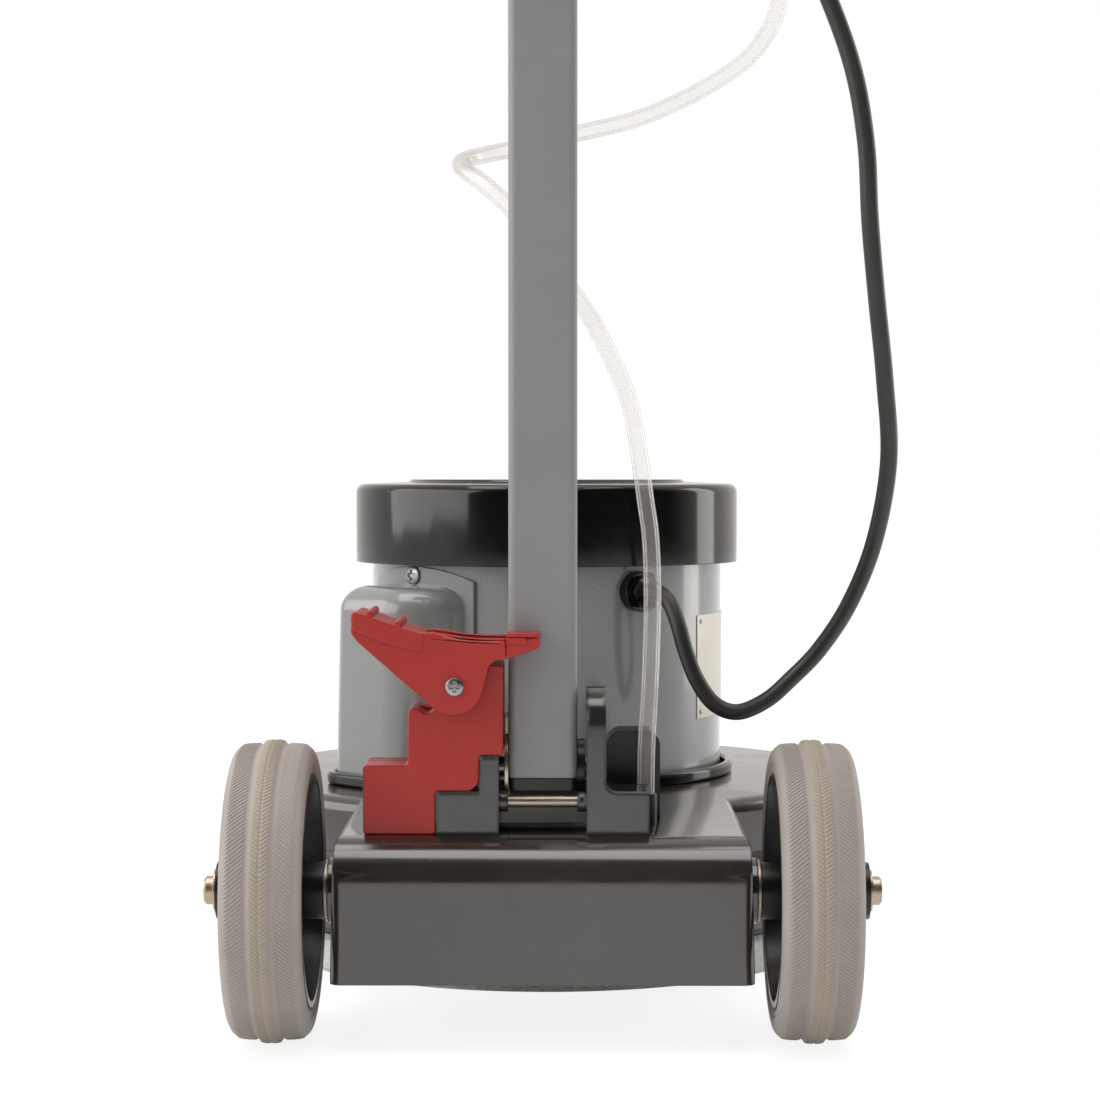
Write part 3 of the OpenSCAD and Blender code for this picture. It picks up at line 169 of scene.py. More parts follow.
class Surface(Graph):
    """The nodes of a material with one Principled shader, placed by the object's coordinates."""

    EDGE_SAMPLES = 6

    def __init__(self, name: str) -> None:
        """Starts a material.

        Args:
            name: The material's name.
        """
        super().__init__(bpy.data.materials.new(name), "OutputMaterial")
        self.shader = self.add("BsdfPrincipled")
        self.feed(self.surface, self.shader.outputs[0])
        self.place = self.add("TexCoord").outputs["Object"]

    def set(self, **inputs: object) -> None:
        """Feeds inputs of the Principled shader, with an underscore for each space in a name."""
        self.fill(self.shader, **inputs)

    def stretch(self, scale: Point3, turn: float = 0.0) -> Socket:
        """Returns the object's coordinates, scaled per axis and turned about Z by an angle in radians."""
        return self.add("Mapping", Vector=self.place, Scale=scale, Rotation=(0, 0, turn)).outputs[0]

    def noise(self, scale: float, detail: float, rough: float, at: Socket | None = None) -> Socket:
        """Adds a noise texture.

        Args:
            scale: Features to the metre.
            detail: Octaves of finer noise.
            rough: Weight of the finer octaves.
            at: Coordinates, or None for the object's own.

        Returns:
            The noise as a factor from 0 to 1.
        """
        return self.add("TexNoise", Vector=at or self.place, Scale=scale, Detail=detail,
                        Roughness=rough).outputs[0]

    def cells(self, scale: float) -> Socket:
        """Returns the distance to the nearest point of a Voronoi texture."""
        return self.add("TexVoronoi", Vector=self.place, Scale=scale).outputs["Distance"]

    def axes(self) -> tuple[Socket, ...]:
        """Returns the object's coordinates as three values."""
        return tuple(self.add("SeparateXYZ", self.place).outputs)

    def mix(self, factor: object, a: object, b: object) -> Socket:
        """Mixes two colours.

        Args:
            factor: Share of the second colour.
            a: The first colour.
            b: The second colour.

        Returns:
            The mixed colour.
        """
        node = self.add("Mix", factor)
        node.data_type = "RGBA"
        colours = [socket for socket in node.inputs if socket.type == "RGBA"]
        for socket, value in zip(colours, (a, b)):
            self.feed(socket, (*value, 1.0) if isinstance(value, tuple) else value)
        return next(socket for socket in node.outputs if socket.type == "RGBA")

    def bump(self, height: Socket, strength: float, depth: float, under: Socket | None = None) -> Socket:
        """Turns a height into a normal.

        Args:
            height: The height, from 0 to 1.
            strength: Share of the effect.
            depth: What a height of 1 stands for, in metres.
            under: A normal that this one lies on.

        Returns:
            The normal.
        """
        node = self.add("Bump", Height=height, Strength=strength, Distance=depth)
        if under is not None:
            self.fill(node, Normal=under)
        return node.outputs[0]

    def soft_edges(self, radius: float) -> Socket:
        """Rounds the edges in the shading.

        Args:
            radius: Radius of the rounding, in metres.

        Returns:
            The normal that rounds them.
        """
        node = self.add("Bevel", Radius=radius)
        node.samples = self.EDGE_SAMPLES
        return node.outputs[0]


def tone(red: int, green: int, blue: int) -> Rgb:
    """Returns the linear colour of an sRGB colour.

    Args:
        red: Its red, from 0 to 255.
        green: Its green.
        blue: Its blue.

    Returns:
        The linear colour, from 0 to 1.
    """
    def linear(value: float) -> float:
        """Returns the linear value of an sRGB value, both from 0 to 1."""
        return value / 12.92 if value <= 0.04045 else ((value + 0.055) / 1.055) ** 2.4
    return (linear(red / 255), linear(green / 255), linear(blue / 255))


WHITE: Rgb = (1.0, 1.0, 1.0)
DUST: Rgb = (0.46, 0.43, 0.39)
# The axle's place along Y and Z in metres, and that of the motor's axis along Y in millimetres.
AXLE: Point2 = (-0.22775, 0.0875)
MOTOR_Y = 100.25


@dataclass(frozen=True)
class Finish:
    """A finish with a slightly uneven colour, gloss and grain.

    Its noises are given as features to the metre, octaves and weight of the finer octaves.

    Attributes:
        name: The material's name.
        colour: Its colour, linear.
        shade: The colour of its darker patches, linear. A floor pad uses it as painted shade where its
            strands lie deep.
        roughness: Lowest and highest roughness.
        grain: Features to the metre of the fine grain.
        relief: Height of the grain, in metres.
        metallic: Share of metal.
        coat: Weight of the clear coat.
        edge: Radius that the edges are rounded by, in metres.
        dust: Weight of the fine pale dust.
        ior: Refractive index, which is higher for a glossier lacquer.
    """

    name: str
    colour: Rgb
    shade: Rgb
    roughness: Point2
    grain: float = 900.0
    relief: float = 2e-5
    metallic: float = 0.0
    coat: float = 0.0
    edge: float = 0.0006
    dust: float = 0.0
    ior: float = 1.5

    PATCHES = (14, 5, 0.6)
    SPECKS = (1600, 2, 0.7)
    HAZE = (9, 4, 0.6)
    SHEEN = (45, 4, 0.6)
    HAZE_SHARE = 0.35
    COAT_ROUGHNESS = 0.08

    def build(self) -> bpy.types.Material:
        """Makes the material.

        Returns:
            The finished material.
        """
        g = Surface(self.name)
        colour = g.mix(g.span(g.noise(*self.PATCHES), 0.35, 0.65), self.colour, self.shade)
        if self.dust > 0:
            specks = g.span(g.noise(*self.SPECKS), 0.66, 0.74, 0, self.dust)
            haze = g.span(g.noise(*self.HAZE), 0.45, 0.8, 0, self.dust * self.HAZE_SHARE)
            colour = g.mix(g.calc("MAXIMUM", specks, haze), colour, DUST)
        fine = g.noise(self.grain, 3, 0.55)
        g.set(Base_Color=colour, Roughness=g.span(g.noise(*self.SHEEN), 0.3, 0.7, *self.roughness),
              Metallic=self.metallic, Coat_Weight=self.coat, Coat_Roughness=self.COAT_ROUGHNESS,
              IOR=self.ior, Normal=g.bump(fine, 0.6, self.relief, g.soft_edges(self.edge)))
        self.dress(g)
        return g.owner

    def dress(self, g: Surface) -> None:
        """Adds what only one kind of finish has."""


@dataclass(frozen=True)
class Powder(Finish):
    """Baked powder coat with its orange peel.

    Attributes:
        peel: Height of the orange peel, in metres.
    """

    peel: float = 4e-5

    PEEL = (420, 2, 0.4)

    def dress(self, g: Surface) -> None:
        """Lays the orange peel over the grain."""
        fine = g.bump(g.noise(self.grain, 3, 0.55), 0.5, self.relief, g.soft_edges(self.edge))
        g.set(Normal=g.bump(g.noise(*self.PEEL), 0.5, self.peel, fine))


@dataclass(frozen=True)
class TyreRubber(Finish):
    """Grey non-marking rubber, browner on the ridge that runs on the floor.

    Attributes:
        ridge: The ridge's colour, linear.
        centre: Place of the axle along Y and Z, in metres.
        ridge_radius: Radii where the ridge's colour starts and where it is full, in metres.
    """

    ridge: Rgb = tone(176, 162, 144)
    centre: Point2 = AXLE
    ridge_radius: Point2 = (0.086, 0.0872)

    WEAR = (30, 5, 0.65)
    CLOUDS = (22, 5, 0.6)
    SCUFFS = (1, 6, 0.7)
    SCUFF_SCALE = (90, 260, 260)

    def dress(self, g: Surface) -> None:
        """Colours the ridge, and scuffs the rubber.

        Args:
            g: The material's nodes.
        """
        _, y, z = g.axes()
        out, up = (g.calc("SUBTRACT", *pair) for pair in zip((y, z), self.centre))
        radius = g.calc("SQRT", g.calc("ADD", g.calc("MULTIPLY", out, out), g.calc("MULTIPLY", up, up)))
        worn = g.span(g.noise(*self.WEAR), 0.35, 0.7, 0.55, 1.0)
        on_ridge = g.calc("MULTIPLY", g.span(radius, *self.ridge_radius), worn)
        base = g.mix(g.span(g.noise(*self.CLOUDS), 0.35, 0.65), self.colour, self.shade)
        scuffs = g.span(g.noise(*self.SCUFFS, at=g.stretch(self.SCUFF_SCALE)), 0.6, 0.75, 0, 0.3)
        g.set(Base_Color=g.mix(scuffs, g.mix(on_ridge, base, self.ridge), DUST))


@dataclass(frozen=True)
class ClearVinyl(Finish):
    """Clear hose: milky and glossy where its wall is seen edge on, and clear in the middle.

    Attributes:
        clear: Tint of what is seen through one wall, linear.
        milk: Share of milkiness seen straight on, and edge on.
        gloss: Share of gloss seen straight on, and edge on.
        gloss_roughness: Roughness of the gloss.
    """

    clear: Rgb = (0.997, 0.993, 0.988)
    milk: Point2 = (0.065, 0.4)
    gloss: Point2 = (0.004, 0.9)
    gloss_roughness: float = 0.05

    DRAW_LINES = (35, 2, 0.5)
    MILKY_SLANT = (0.2, 0.95)
    GLOSS_POWER = 3.0

    def dress(self, g: Surface) -> None:
        """Mixes what shows through the wall with the wall's own look.

        Args:
            g: The material's nodes.
        """
        slant = g.add("LayerWeight").outputs["Facing"]
        through = g.add("BsdfTransparent", Color=(*self.clear, 1)).outputs[0]
        shine = g.add("BsdfGlossy", Roughness=self.gloss_roughness).outputs[0]
        lines = g.span(g.noise(*self.DRAW_LINES), 0.35, 0.7, 0.9, 1.1)
        milk = g.calc("MULTIPLY", g.span(slant, *self.MILKY_SLANT, *self.milk), lines)
        gloss = g.span(g.calc("POWER", slant, self.GLOSS_POWER), 0.0, 1.0, *self.gloss)
        g.feed(g.surface, g.join(gloss, g.join(milk, through, g.shader.outputs[0]), shine))


@dataclass(frozen=True)
class Plated(Finish):
    """Zinc or bright steel, drawn or brushed.

    Attributes:
        streak: How far the brushing changes the roughness.
        tint: A second colour that the plating turns to, linear.
    """

    streak: float = 0.18
    tint: Rgb = tone(182, 164, 136)

    BRUSHING = (1, 4, 0.6)
    BRUSHING_SCALE = (60, 900, 900)
    STAINS = (35, 4, 0.6)

    def dress(self, g: Surface) -> None:
        """Brushes the plating, and lets its colour turn.

        Args:
            g: The material's nodes.
        """
        lines = g.noise(*self.BRUSHING, at=g.stretch(self.BRUSHING_SCALE))
        base = g.mix(g.span(g.noise(*self.STAINS), 0.35, 0.7), self.colour, self.tint)
        g.set(Roughness=g.span(lines, 0.3, 0.7, self.roughness[0], self.roughness[0] + self.streak),
              Base_Color=base)


@dataclass(frozen=True)
class SideDiscs(Finish):
    """The zinc index disc at the left and the black disc at the right, in one node.

    Attributes:
        black: The right disc's colour, linear.
    """

    black: Rgb = tone(22, 22, 21)

    SEAM = (-0.001, 0.001)

    def dress(self, g: Surface) -> None:
        """Blackens what lies right of the middle."""
        right = g.span(g.axes()[0], *self.SEAM)
        g.set(Base_Color=g.mix(right, self.colour, self.black), Metallic=g.calc("SUBTRACT", 1.0, right))


@dataclass(frozen=True)
class Blown(Finish):
    """Blow-moulded polyethylene that lets a little light through."""

    WAVES = (25, 2, 0.5)
    WAVE_HEIGHT = 0.0006
    LIGHT_REACH = (0.02, 0.02, 0.018)

    def dress(self, g: Surface) -> None:
        """Lets light in, and waves the wall.

        Args:
            g: The material's nodes.
        """
        g.set(Subsurface_Weight=0.35, Subsurface_Radius=self.LIGHT_REACH, Subsurface_Scale=0.4)
        waves = g.bump(g.noise(*self.WAVES), 0.4, self.WAVE_HEIGHT, g.soft_edges(self.edge))
        g.set(Normal=g.bump(g.noise(self.grain, 3, 0.5), 0.5, self.relief, waves))


@dataclass(frozen=True)
class Fibre(Finish):
    """Matted nylon of a floor pad."""

    STRANDS = (1, 4, 0.75)
    STRAND_SCALE = (700, 700, 2200)
    STRAND_TURN = 0.4
    MESHES = 520
    PILE = 0.0016

    def dress(self, g: Surface) -> None:
        """Mats strands together, with painted shade where they lie deep.

        Args:
            g: The material's nodes.
        """
        strands = g.noise(*self.STRANDS, at=g.stretch(self.STRAND_SCALE, self.STRAND_TURN))
        depth = g.calc("MULTIPLY", strands, g.cells(self.MESHES))
        # The darker colour is painted shade on the strands that lie deep, not a colour of the fibre.
        g.set(Normal=g.bump(depth, 1.0, self.PILE),
              Base_Color=g.mix(g.span(depth, 0.05, 0.4), self.shade, self.colour))


@dataclass(frozen=True)
class Wound(Finish):
    """Enamelled copper wire, wound.

    Attributes:
        pitch: Distance from one wire to the next, in metres.
    """

    pitch: float = 0.0012

    WIRE_RISE = 0.0003

    def dress(self, g: Surface) -> None:
        """Raises the wires."""
        wires = g.calc("SINE", g.calc("MULTIPLY", g.axes()[2], math.tau / self.pitch))
        g.set(Normal=g.bump(wires, 0.8, self.WIRE_RISE))


FINISHES: dict[str, Finish] = {
    "deck_black": Finish("gloss black deck paint", tone(42, 37, 33), tone(46, 40, 35), (0.1, 0.17),
                         grain=700, relief=12e-6, edge=0.0014, dust=0.08, ior=1.82),
    "motor_grey": Finish("grey motor enamel", tone(130, 131, 130), tone(126, 127, 126), (0.2, 0.28),
                         grain=600, coat=0.8, edge=0.001, dust=0.05),
    "cover_black": Finish("polished black cover", tone(9, 9, 8), tone(12, 11, 10), (0.07, 0.12),
                          grain=500, relief=8e-6, edge=0.0012, dust=0.015, ior=1.52),
    "bracket_black": Finish("black cast bracket paint", tone(27, 25, 24), tone(33, 31, 29), (0.12, 0.2),
                            grain=750, edge=0.004, dust=0.06, ior=1.8),
    "tube_grey": Powder("grey powder coat", tone(135, 135, 135), tone(131, 131, 131), (0.36, 0.46),
                        grain=1500, relief=1e-5, edge=0.0022, dust=0.05),
    "lock_red": Finish("red glass-filled nylon", tone(170, 44, 39), tone(163, 42, 37), (0.26, 0.36),
                       grain=1100, relief=12e-6, edge=0.0002, dust=0.04, ior=1.42),
    "tyre_grey": TyreRubber("grey tyre rubber", tone(167, 159, 152), tone(160, 152, 145), (0.56, 0.7),
                            relief=4e-5, edge=0.0004),
    "rim_black": Finish("black moulded rim", tone(20, 20, 19), tone(25, 24, 23), (0.26, 0.36),
                        edge=0.001, dust=0.05),
    "zinc": Plated("zinc plate", tone(186, 176, 162), tone(180, 168, 150), (0.28, 0.4),
                   relief=1e-5, metallic=1.0, edge=0.0008),
    "steel": Plated("turned steel", tone(172, 172, 174), tone(160, 160, 162), (0.24, 0.36),
                    relief=1e-5, metallic=1.0, edge=0.0005, tint=tone(150, 150, 150)),
    "winding": Wound("enamelled copper", tone(186, 108, 62), tone(170, 92, 50), (0.3, 0.4), metallic=0.85),
    "rubber_black": Finish("black rubber", tone(40, 39, 37), tone(46, 44, 42), (0.36, 0.5),
                           grain=1000, relief=4e-5, edge=0.001, dust=0.08),
    "cable_black": Finish("cable sheath", tone(40, 38, 35), tone(45, 43, 39), (0.36, 0.5),
                          grain=1300, relief=3e-5, edge=0.0002, dust=0.08),
    "hose_clear": ClearVinyl("clear vinyl", tone(252, 249, 244), tone(248, 244, 238), (0.1, 0.16),
                             grain=1200, relief=1e-5, edge=0.0001),
    "tank_white": Blown("natural polyethylene", tone(213, 213, 207), tone(207, 207, 200), (0.32, 0.42),
                        grain=600, relief=3e-5, edge=0.0015),
    # The pad's second colour is painted shade where its strands lie deep.
    "pad_white": Fibre("white floor pad", tone(246, 246, 243), tone(226, 225, 220), (0.8, 0.9)),
    "button_yellow": Finish("yellow moulding", tone(232, 178, 32), tone(226, 172, 30), (0.25, 0.34),
                            coat=0.2, edge=0.001),
}
DISCS = SideDiscs("side discs", tone(186, 176, 162), tone(180, 168, 150), (0.28, 0.4),
                  relief=1e-5, metallic=1.0, edge=0.0008)
PLATE = Plated("bare cream plate", tone(231, 227, 213), tone(226, 221, 206), (0.3, 0.42),
               grain=800, relief=1e-5, edge=0.0002, tint=tone(225, 219, 203))


def put(name: str, data: bpy.types.ID) -> bpy.types.Object:
    """Shows data as a new object in the scene.

    Args:
        name: The object's name.
        data: What it shows.

    Returns:
        The object.
    """
    thing = bpy.data.objects.new(name, data)
    bpy.context.scene.collection.objects.link(thing)
    return thing


def curve(knots: Sequence[Point3]) -> list[Vector]:
    """Draws a Catmull-Rom curve through knots.

    Args:
        knots: The points that it runs through.

    Returns:
        The curve's points.
    """
    ends = [knots[0], *knots, knots[-1]]
    points = []
    for number in range(1, len(ends) - 2):
        a, b, c, d = (Vector(ends[number + shift]) for shift in (-1, 0, 1, 2))
        for step in range(CURVE_STEPS):
            t = step / CURVE_STEPS
            points.append(0.5 * (2 * b + (c - a) * t + (2 * a - 5 * b + 4 * c - d) * t ** 2
                                 + (3 * b - a - 3 * c + d) * t ** 3))
    return [*points, Vector(knots[-1])]


def inset(outline: Sequence[Point2], depth: float) -> list[Point2]:
    """Moves an outline inwards.

    Args:
        outline: The outline's points, once round.
        depth: How far in it moves.

    Returns:
        The moved outline.
    """
    pairs = list(zip(outline, [*outline[1:], outline[0]]))
    turn = math.copysign(1, sum(a[0] * b[1] - b[0] * a[1] for a, b in pairs))
    normals = [Vector((a[1] - b[1], b[0] - a[0])).normalized() * turn for a, b in pairs]
    moved = []
    for number, point in enumerate(outline):
        before, after = normals[number - 1], normals[number]
        shift = (before + after) / max(MITRE_LEAST, 1 + before.dot(after))
        moved.append((point[0] + depth * shift.x, point[1] + depth * shift.y))
    return moved


def rounded(corners: Sequence[Point2], radius: float, steps: int = 4) -> list[Point2]:
    """Rounds an outline's corners.

    Args:
        corners: The corners, once round.
        radius: How far from a corner its rounding starts, at most.
        steps: Edges to a rounding.

    Returns:
        The rounded outline.
    """
    outline = []
    for number, corner in enumerate(corners):
        here = Vector(corner)
        reach = []
        for other in (corners[number - 1], corners[(number + 1) % len(corners)]):
            edge = Vector(other) - here
            reach.append(here + edge.normalized() * min(radius, EDGE_SHARE * edge.length))
        for step in range(steps + 1):
            t = step / steps
            point = reach[0] * (1 - t) ** 2 + here * (2 * t * (1 - t)) + reach[1] * t ** 2
            outline.append((point.x, point.y))
    return outline


def disc(centre: Point2, radius: float, steps: int = 28) -> list[Point2]:
    """Returns a circle's points."""
    return [(centre[0] + radius * math.cos(math.tau * step / steps),
             centre[1] + radius * math.sin(math.tau * step / steps)) for step in range(steps)]


def smooth_step(value: float) -> float:
    """Returns a smooth rise from 0 to 1 for a value from 0 to 1."""
    value = min(1.0, max(0.0, value))
    return value * value * (3 - 2 * value)


class Shape:
    """A mesh in the making, in millimetres."""

    def __init__(self) -> None:
        """Starts with no points and no faces."""
        self.points: list[Point3] = []
        self.faces: list[tuple[int, ...]] = []

    def grid(self, rows: Sequence[Sequence[Point3]], ring: bool = False, loop: bool = False,
             flip: bool = False) -> list[list[int]]:
        """Adds a grid of quads.

        Args:
            rows: Rows of points, all of one length.
            ring: Whether each row closes on its first point.
            loop: Whether the last row is joined to the first.
            flip: Whether the faces turn the other way.

        Returns:
            The points' numbers, row by row.
        """
        first = len(self.points)
        width = len(rows[0])
        self.points.extend(point for row in rows for point in row)
        index = [[first + r * width + c for c in range(width)] for r in range(len(rows))]
        for r in range(len(rows) if loop else len(rows) - 1):
            lower, upper = index[r], index[(r + 1) % len(rows)]
            for c in range(width if ring else width - 1):
                d = (c + 1) % width
                quad = (lower[c], lower[d], upper[d], upper[c])
                self.faces.append(quad[::-1] if flip else quad)
        return index

    def cap(self, index: Sequence[Sequence[int]]) -> None:
        """Closes both ends of a grid of rings."""
        self.faces.extend((tuple(index[0]), tuple(index[-1])))

    def tube(self, path: Sequence[Vector], radius: float, sides: int, flip: bool = False) -> list[list[int]]:
        """Draws a round section along a path, without twist.

        Args:
            path: The path's points.
            radius: The section's radius.
            sides: Faces round.
            flip: Whether the faces turn the other way.

        Returns:
            The points' numbers, ring by ring.
        """
        rows = []
        start = path[1] - path[0]
        side = UP.cross(start)
        if side.length < STEEP * start.length:
            side = Vector((1, 0, 0))
        for number, point in enumerate(path):
            ahead = (path[min(number + 1, len(path) - 1)] - path[max(number - 1, 0)]).normalized()
            side = (side - ahead * side.dot(ahead)).normalized()
            other = ahead.cross(side)
            rows.append([tuple(point + side * (radius * math.cos(math.tau * s / sides))
                               + other * (radius * math.sin(math.tau * s / sides))) for s in range(sides)])
        return self.grid(rows, ring=True, flip=flip)

    def prism(self, outline: Sequence[Point2], front: float, back: float, edge: float) -> None:
        """Draws an outline out along Y, with rounded edges at both ends.

        Args:
            outline: The outline's points in X and Z, once round.
            front: Where it starts.
            back: Where it ends.
            edge: Radius of the rounded edges.
        """
        turns = [QUARTER * step / EDGE_STEPS for step in range(EDGE_STEPS + 1)]
        steps = [(edge * (1 - math.cos(turn)), edge * (1 - math.sin(turn))) for turn in turns]
        ends = [(front + run, depth) for run, depth in steps]
        ends += [(back - run, depth) for run, depth in reversed(steps)]
        self.cap(self.grid([[(x, y, z) for x, z in inset(outline, depth)] for y, depth in ends], ring=True))

    def make(self, name: str, material: bpy.types.Material, sharp: float = SHARP_ANGLE) -> bpy.types.Object:
        """Turns the shape into an object, at the origin and in metres.

        Args:
            name: The object's name.
            material: Its material.
            sharp: Angle from which an edge stays sharp.

        Returns:
            The object.
        """
        mesh = bpy.data.meshes.new(name)
        mesh.from_pydata([tuple(MM * value for value in point) for point in self.points], [], self.faces)
        mesh.validate()
        build = bmesh.new()
        build.from_mesh(mesh)
        bmesh.ops.remove_doubles(build, verts=build.verts, dist=DOUBLE)
        bmesh.ops.recalc_face_normals(build, faces=build.faces)
        build.to_mesh(mesh)
        build.free()
        mesh.materials.append(material)
        mesh.shade_smooth()
        mesh.set_sharp_from_angle(angle=sharp)
        return put(name, mesh)


# Width in millimetres of the rounded edges of the CAD nodes that have them.
EDGE_WIDTH: dict[str, float] = {
    "handle_bracket": 3.4, "hose_inlet": 1.5, "tube_foot": 0.8, "motor_rim": 2.4, "head_housing": 2.5,
}


class Shop:
    """The materials, and the CAD nodes that they are put on.

    Points of a node that lie closer than WELD, in metres, become one. Faces that meet at less than
    FLAT_ANGLE become one too, and edges sharper than BEVEL_ANGLE are rounded in BEVEL_STEPS.
    """

    WELD = 2e-6
    FLAT_ANGLE = math.radians(0.6)
    BEVEL_ANGLE = math.radians(34)
    BEVEL_STEPS = 4

    def __init__(self) -> None:
        """Makes every finish once, and reads which node has which."""
        self.materials = {slot: finish.build() for slot, finish in FINISHES.items()}
        self.slots = {part["node"]: part["material_slot"] for part in frame["record"]["subparts"]}
        self.nodes: dict[str, bpy.types.Object] = frame["nodes"]

    def paint(self) -> None:
        """Gives each CAD node its slot's material, smooth faces and rounded edges."""
        special = {"pivot_discs": DISCS.build(), "motor_rim": self.materials["cover_black"]}
        for name, node in self.nodes.items():
            mesh = node.data
            mesh.materials.clear()
            mesh.materials.append(special.get(name, self.materials[self.slots[name]]))
            if "custom_normal" in mesh.attributes:
                mesh.attributes.remove(mesh.attributes["custom_normal"])
            mesh.shade_smooth()
            self.soften(node, EDGE_WIDTH.get(name, 0.0))

    def soften(self, node: bpy.types.Object, width: float) -> None:
        """Joins a node's faces and rounds its edges, without a change to its own points.

        Args:
            node: The CAD node.
            width: Width of the rounding in millimetres, or 0 for none.
        """
        weld = node.modifiers.new("weld", "WELD")
        weld.merge_threshold = self.WELD
        if width > 0:
            flat = node.modifiers.new("flat faces", "DECIMATE")
            flat.decimate_type = "DISSOLVE"
            flat.angle_limit = self.FLAT_ANGLE
            bevel = node.modifiers.new("rounded edges", "BEVEL")
            bevel.width = width * MM
            bevel.segments = self.BEVEL_STEPS
            bevel.limit_method = "ANGLE"
            bevel.angle_limit = self.BEVEL_ANGLE
            bevel.harden_normals = True
        else:
            split = node.modifiers.new("sharp edges", "EDGE_SPLIT")
            split.split_angle = SHARP_ANGLE

    def add(self, shape: Shape, name: str, slot: str, body: str, *nodes: str,
            sharp: float = SHARP_ANGLE) -> None:
        """Makes a piece that rides on a body and stands for CAD nodes.

        Args:
            shape: Its shape.
            name: Its name.
            slot: Its material slot.
            body: The body that it moves with.
            nodes: The CAD nodes that it stands for.
            sharp: Angle from which an edge stays sharp.
        """
        thing = shape.make(name, self.materials[slot], sharp)
        weighted = thing.modifiers.new("flat faces", "WEIGHTED_NORMAL")
        weighted.keep_sharp = True
        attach(thing, body)
        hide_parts(*nodes)


@dataclass(frozen=True)
class Cord:
    """A cable or hose, drawn once along its route.

    Attributes:
        name: The piece's name.
        node: The CAD node that it stands for.
        slot: Its material slot.
        knots: The points of its route.
        diameter: Its outer diameter.
        bore: Its inner diameter, or 0 for a solid one.
        start: Point from which it would follow the handle, in metres. It is not used.
        end: Point from which it would move with the handle, in metres. It is not used.
        stiffness: How stiff it is. It is not used.
        lay: How it lies. It is not used.
        sides: Faces round.
    """

    name: str
    node: str
    slot: str
    knots: tuple[Point3, ...]
    diameter: float
    bore: float
    start: Point3
    end: Point3
    stiffness: str = "medium"
    lay: str = "loose"
    sides: int = 24

    def build(self, shop: Shop) -> None:
        """Args:
            shop: The materials and the CAD nodes.
        """
        path = curve(self.knots)
        shape = Shape()
        outer = shape.tube(path, self.diameter / 2, self.sides)
        if self.bore > 0:
            inner = shape.tube(path, self.bore / 2, self.sides, flip=True)
            for row in (0, -1):
                for c in range(self.sides):
                    d = (c + 1) % self.sides
                    shape.faces.append((outer[row][c], outer[row][d], inner[row][d], inner[row][c]))
        else:
            shape.cap(outer)
        thing = shape.make(self.name, shop.materials[self.slot])
        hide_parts(self.node)
        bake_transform(thing)


CORDS: tuple[Cord, ...] = (
    Cord("cable", "motor_cable", "cable_black", (
        (69, -19.25, 251), (74.5, -28.8, 251), (81, -39.5, 245), (86, -47, 232), (91, -51, 214),
        (98, -55, 196), (109, -59, 181), (124, -62, 176), (142, -66, 184), (157, -72, 198),
        (174, -85, 218), (190, -110, 248), (202, -140, 288), (207, -168, 337), (202, -188, 385),
        (196, -198, 431), (191, -205, 477), (188, -208, 523), (179, -208, 570), (158, -207, 625),
        (128, -204, 690), (97, -201, 770), (70, -198, 850), (46, -195, 925), (36, -194, 965),
        (34, -193.75, 988), (34, -193.75, 1000), (34, -193.75, 1011.9)),
        diameter=10.4, bore=0.0, start=(0.07, -0.02, 0.251), end=(0.07, -0.17, 0.501)),
    Cord("hose", "solution_hose", "hose_clear", (
        (61, -187.75, 139), (61, -187.75, 150), (61.5, -187, 172), (63.5, -185, 205), (65, -181, 254),
        (64, -177.5, 290), (61, -174.5, 313), (57, -171.5, 343), (52, -169, 370), (44, -167, 391),
        (34, -165, 412), (24, -163, 429), (2, -160, 460), (-21, -155.5, 490), (-38, -146, 506),
        (-48.5, -132, 515), (-51.5, -116, 521), (-47, -98, 526), (-37, -85, 530), (-22, -77, 534),
        (0, -73, 539), (21, -71, 545), (60, -69, 555), (98, -69, 572), (127, -69.5, 591),
        (141.5, -69.75, 609), (147.8, -69.75, 624), (149, -69.75, 635), (149, -69.75, 641),
        (149, -69.75, 647.9)),
        diameter=10.5, bore=7.4, start=(0.0, -0.19, 0.15), end=(0.0, -0.19, 0.35)),
)


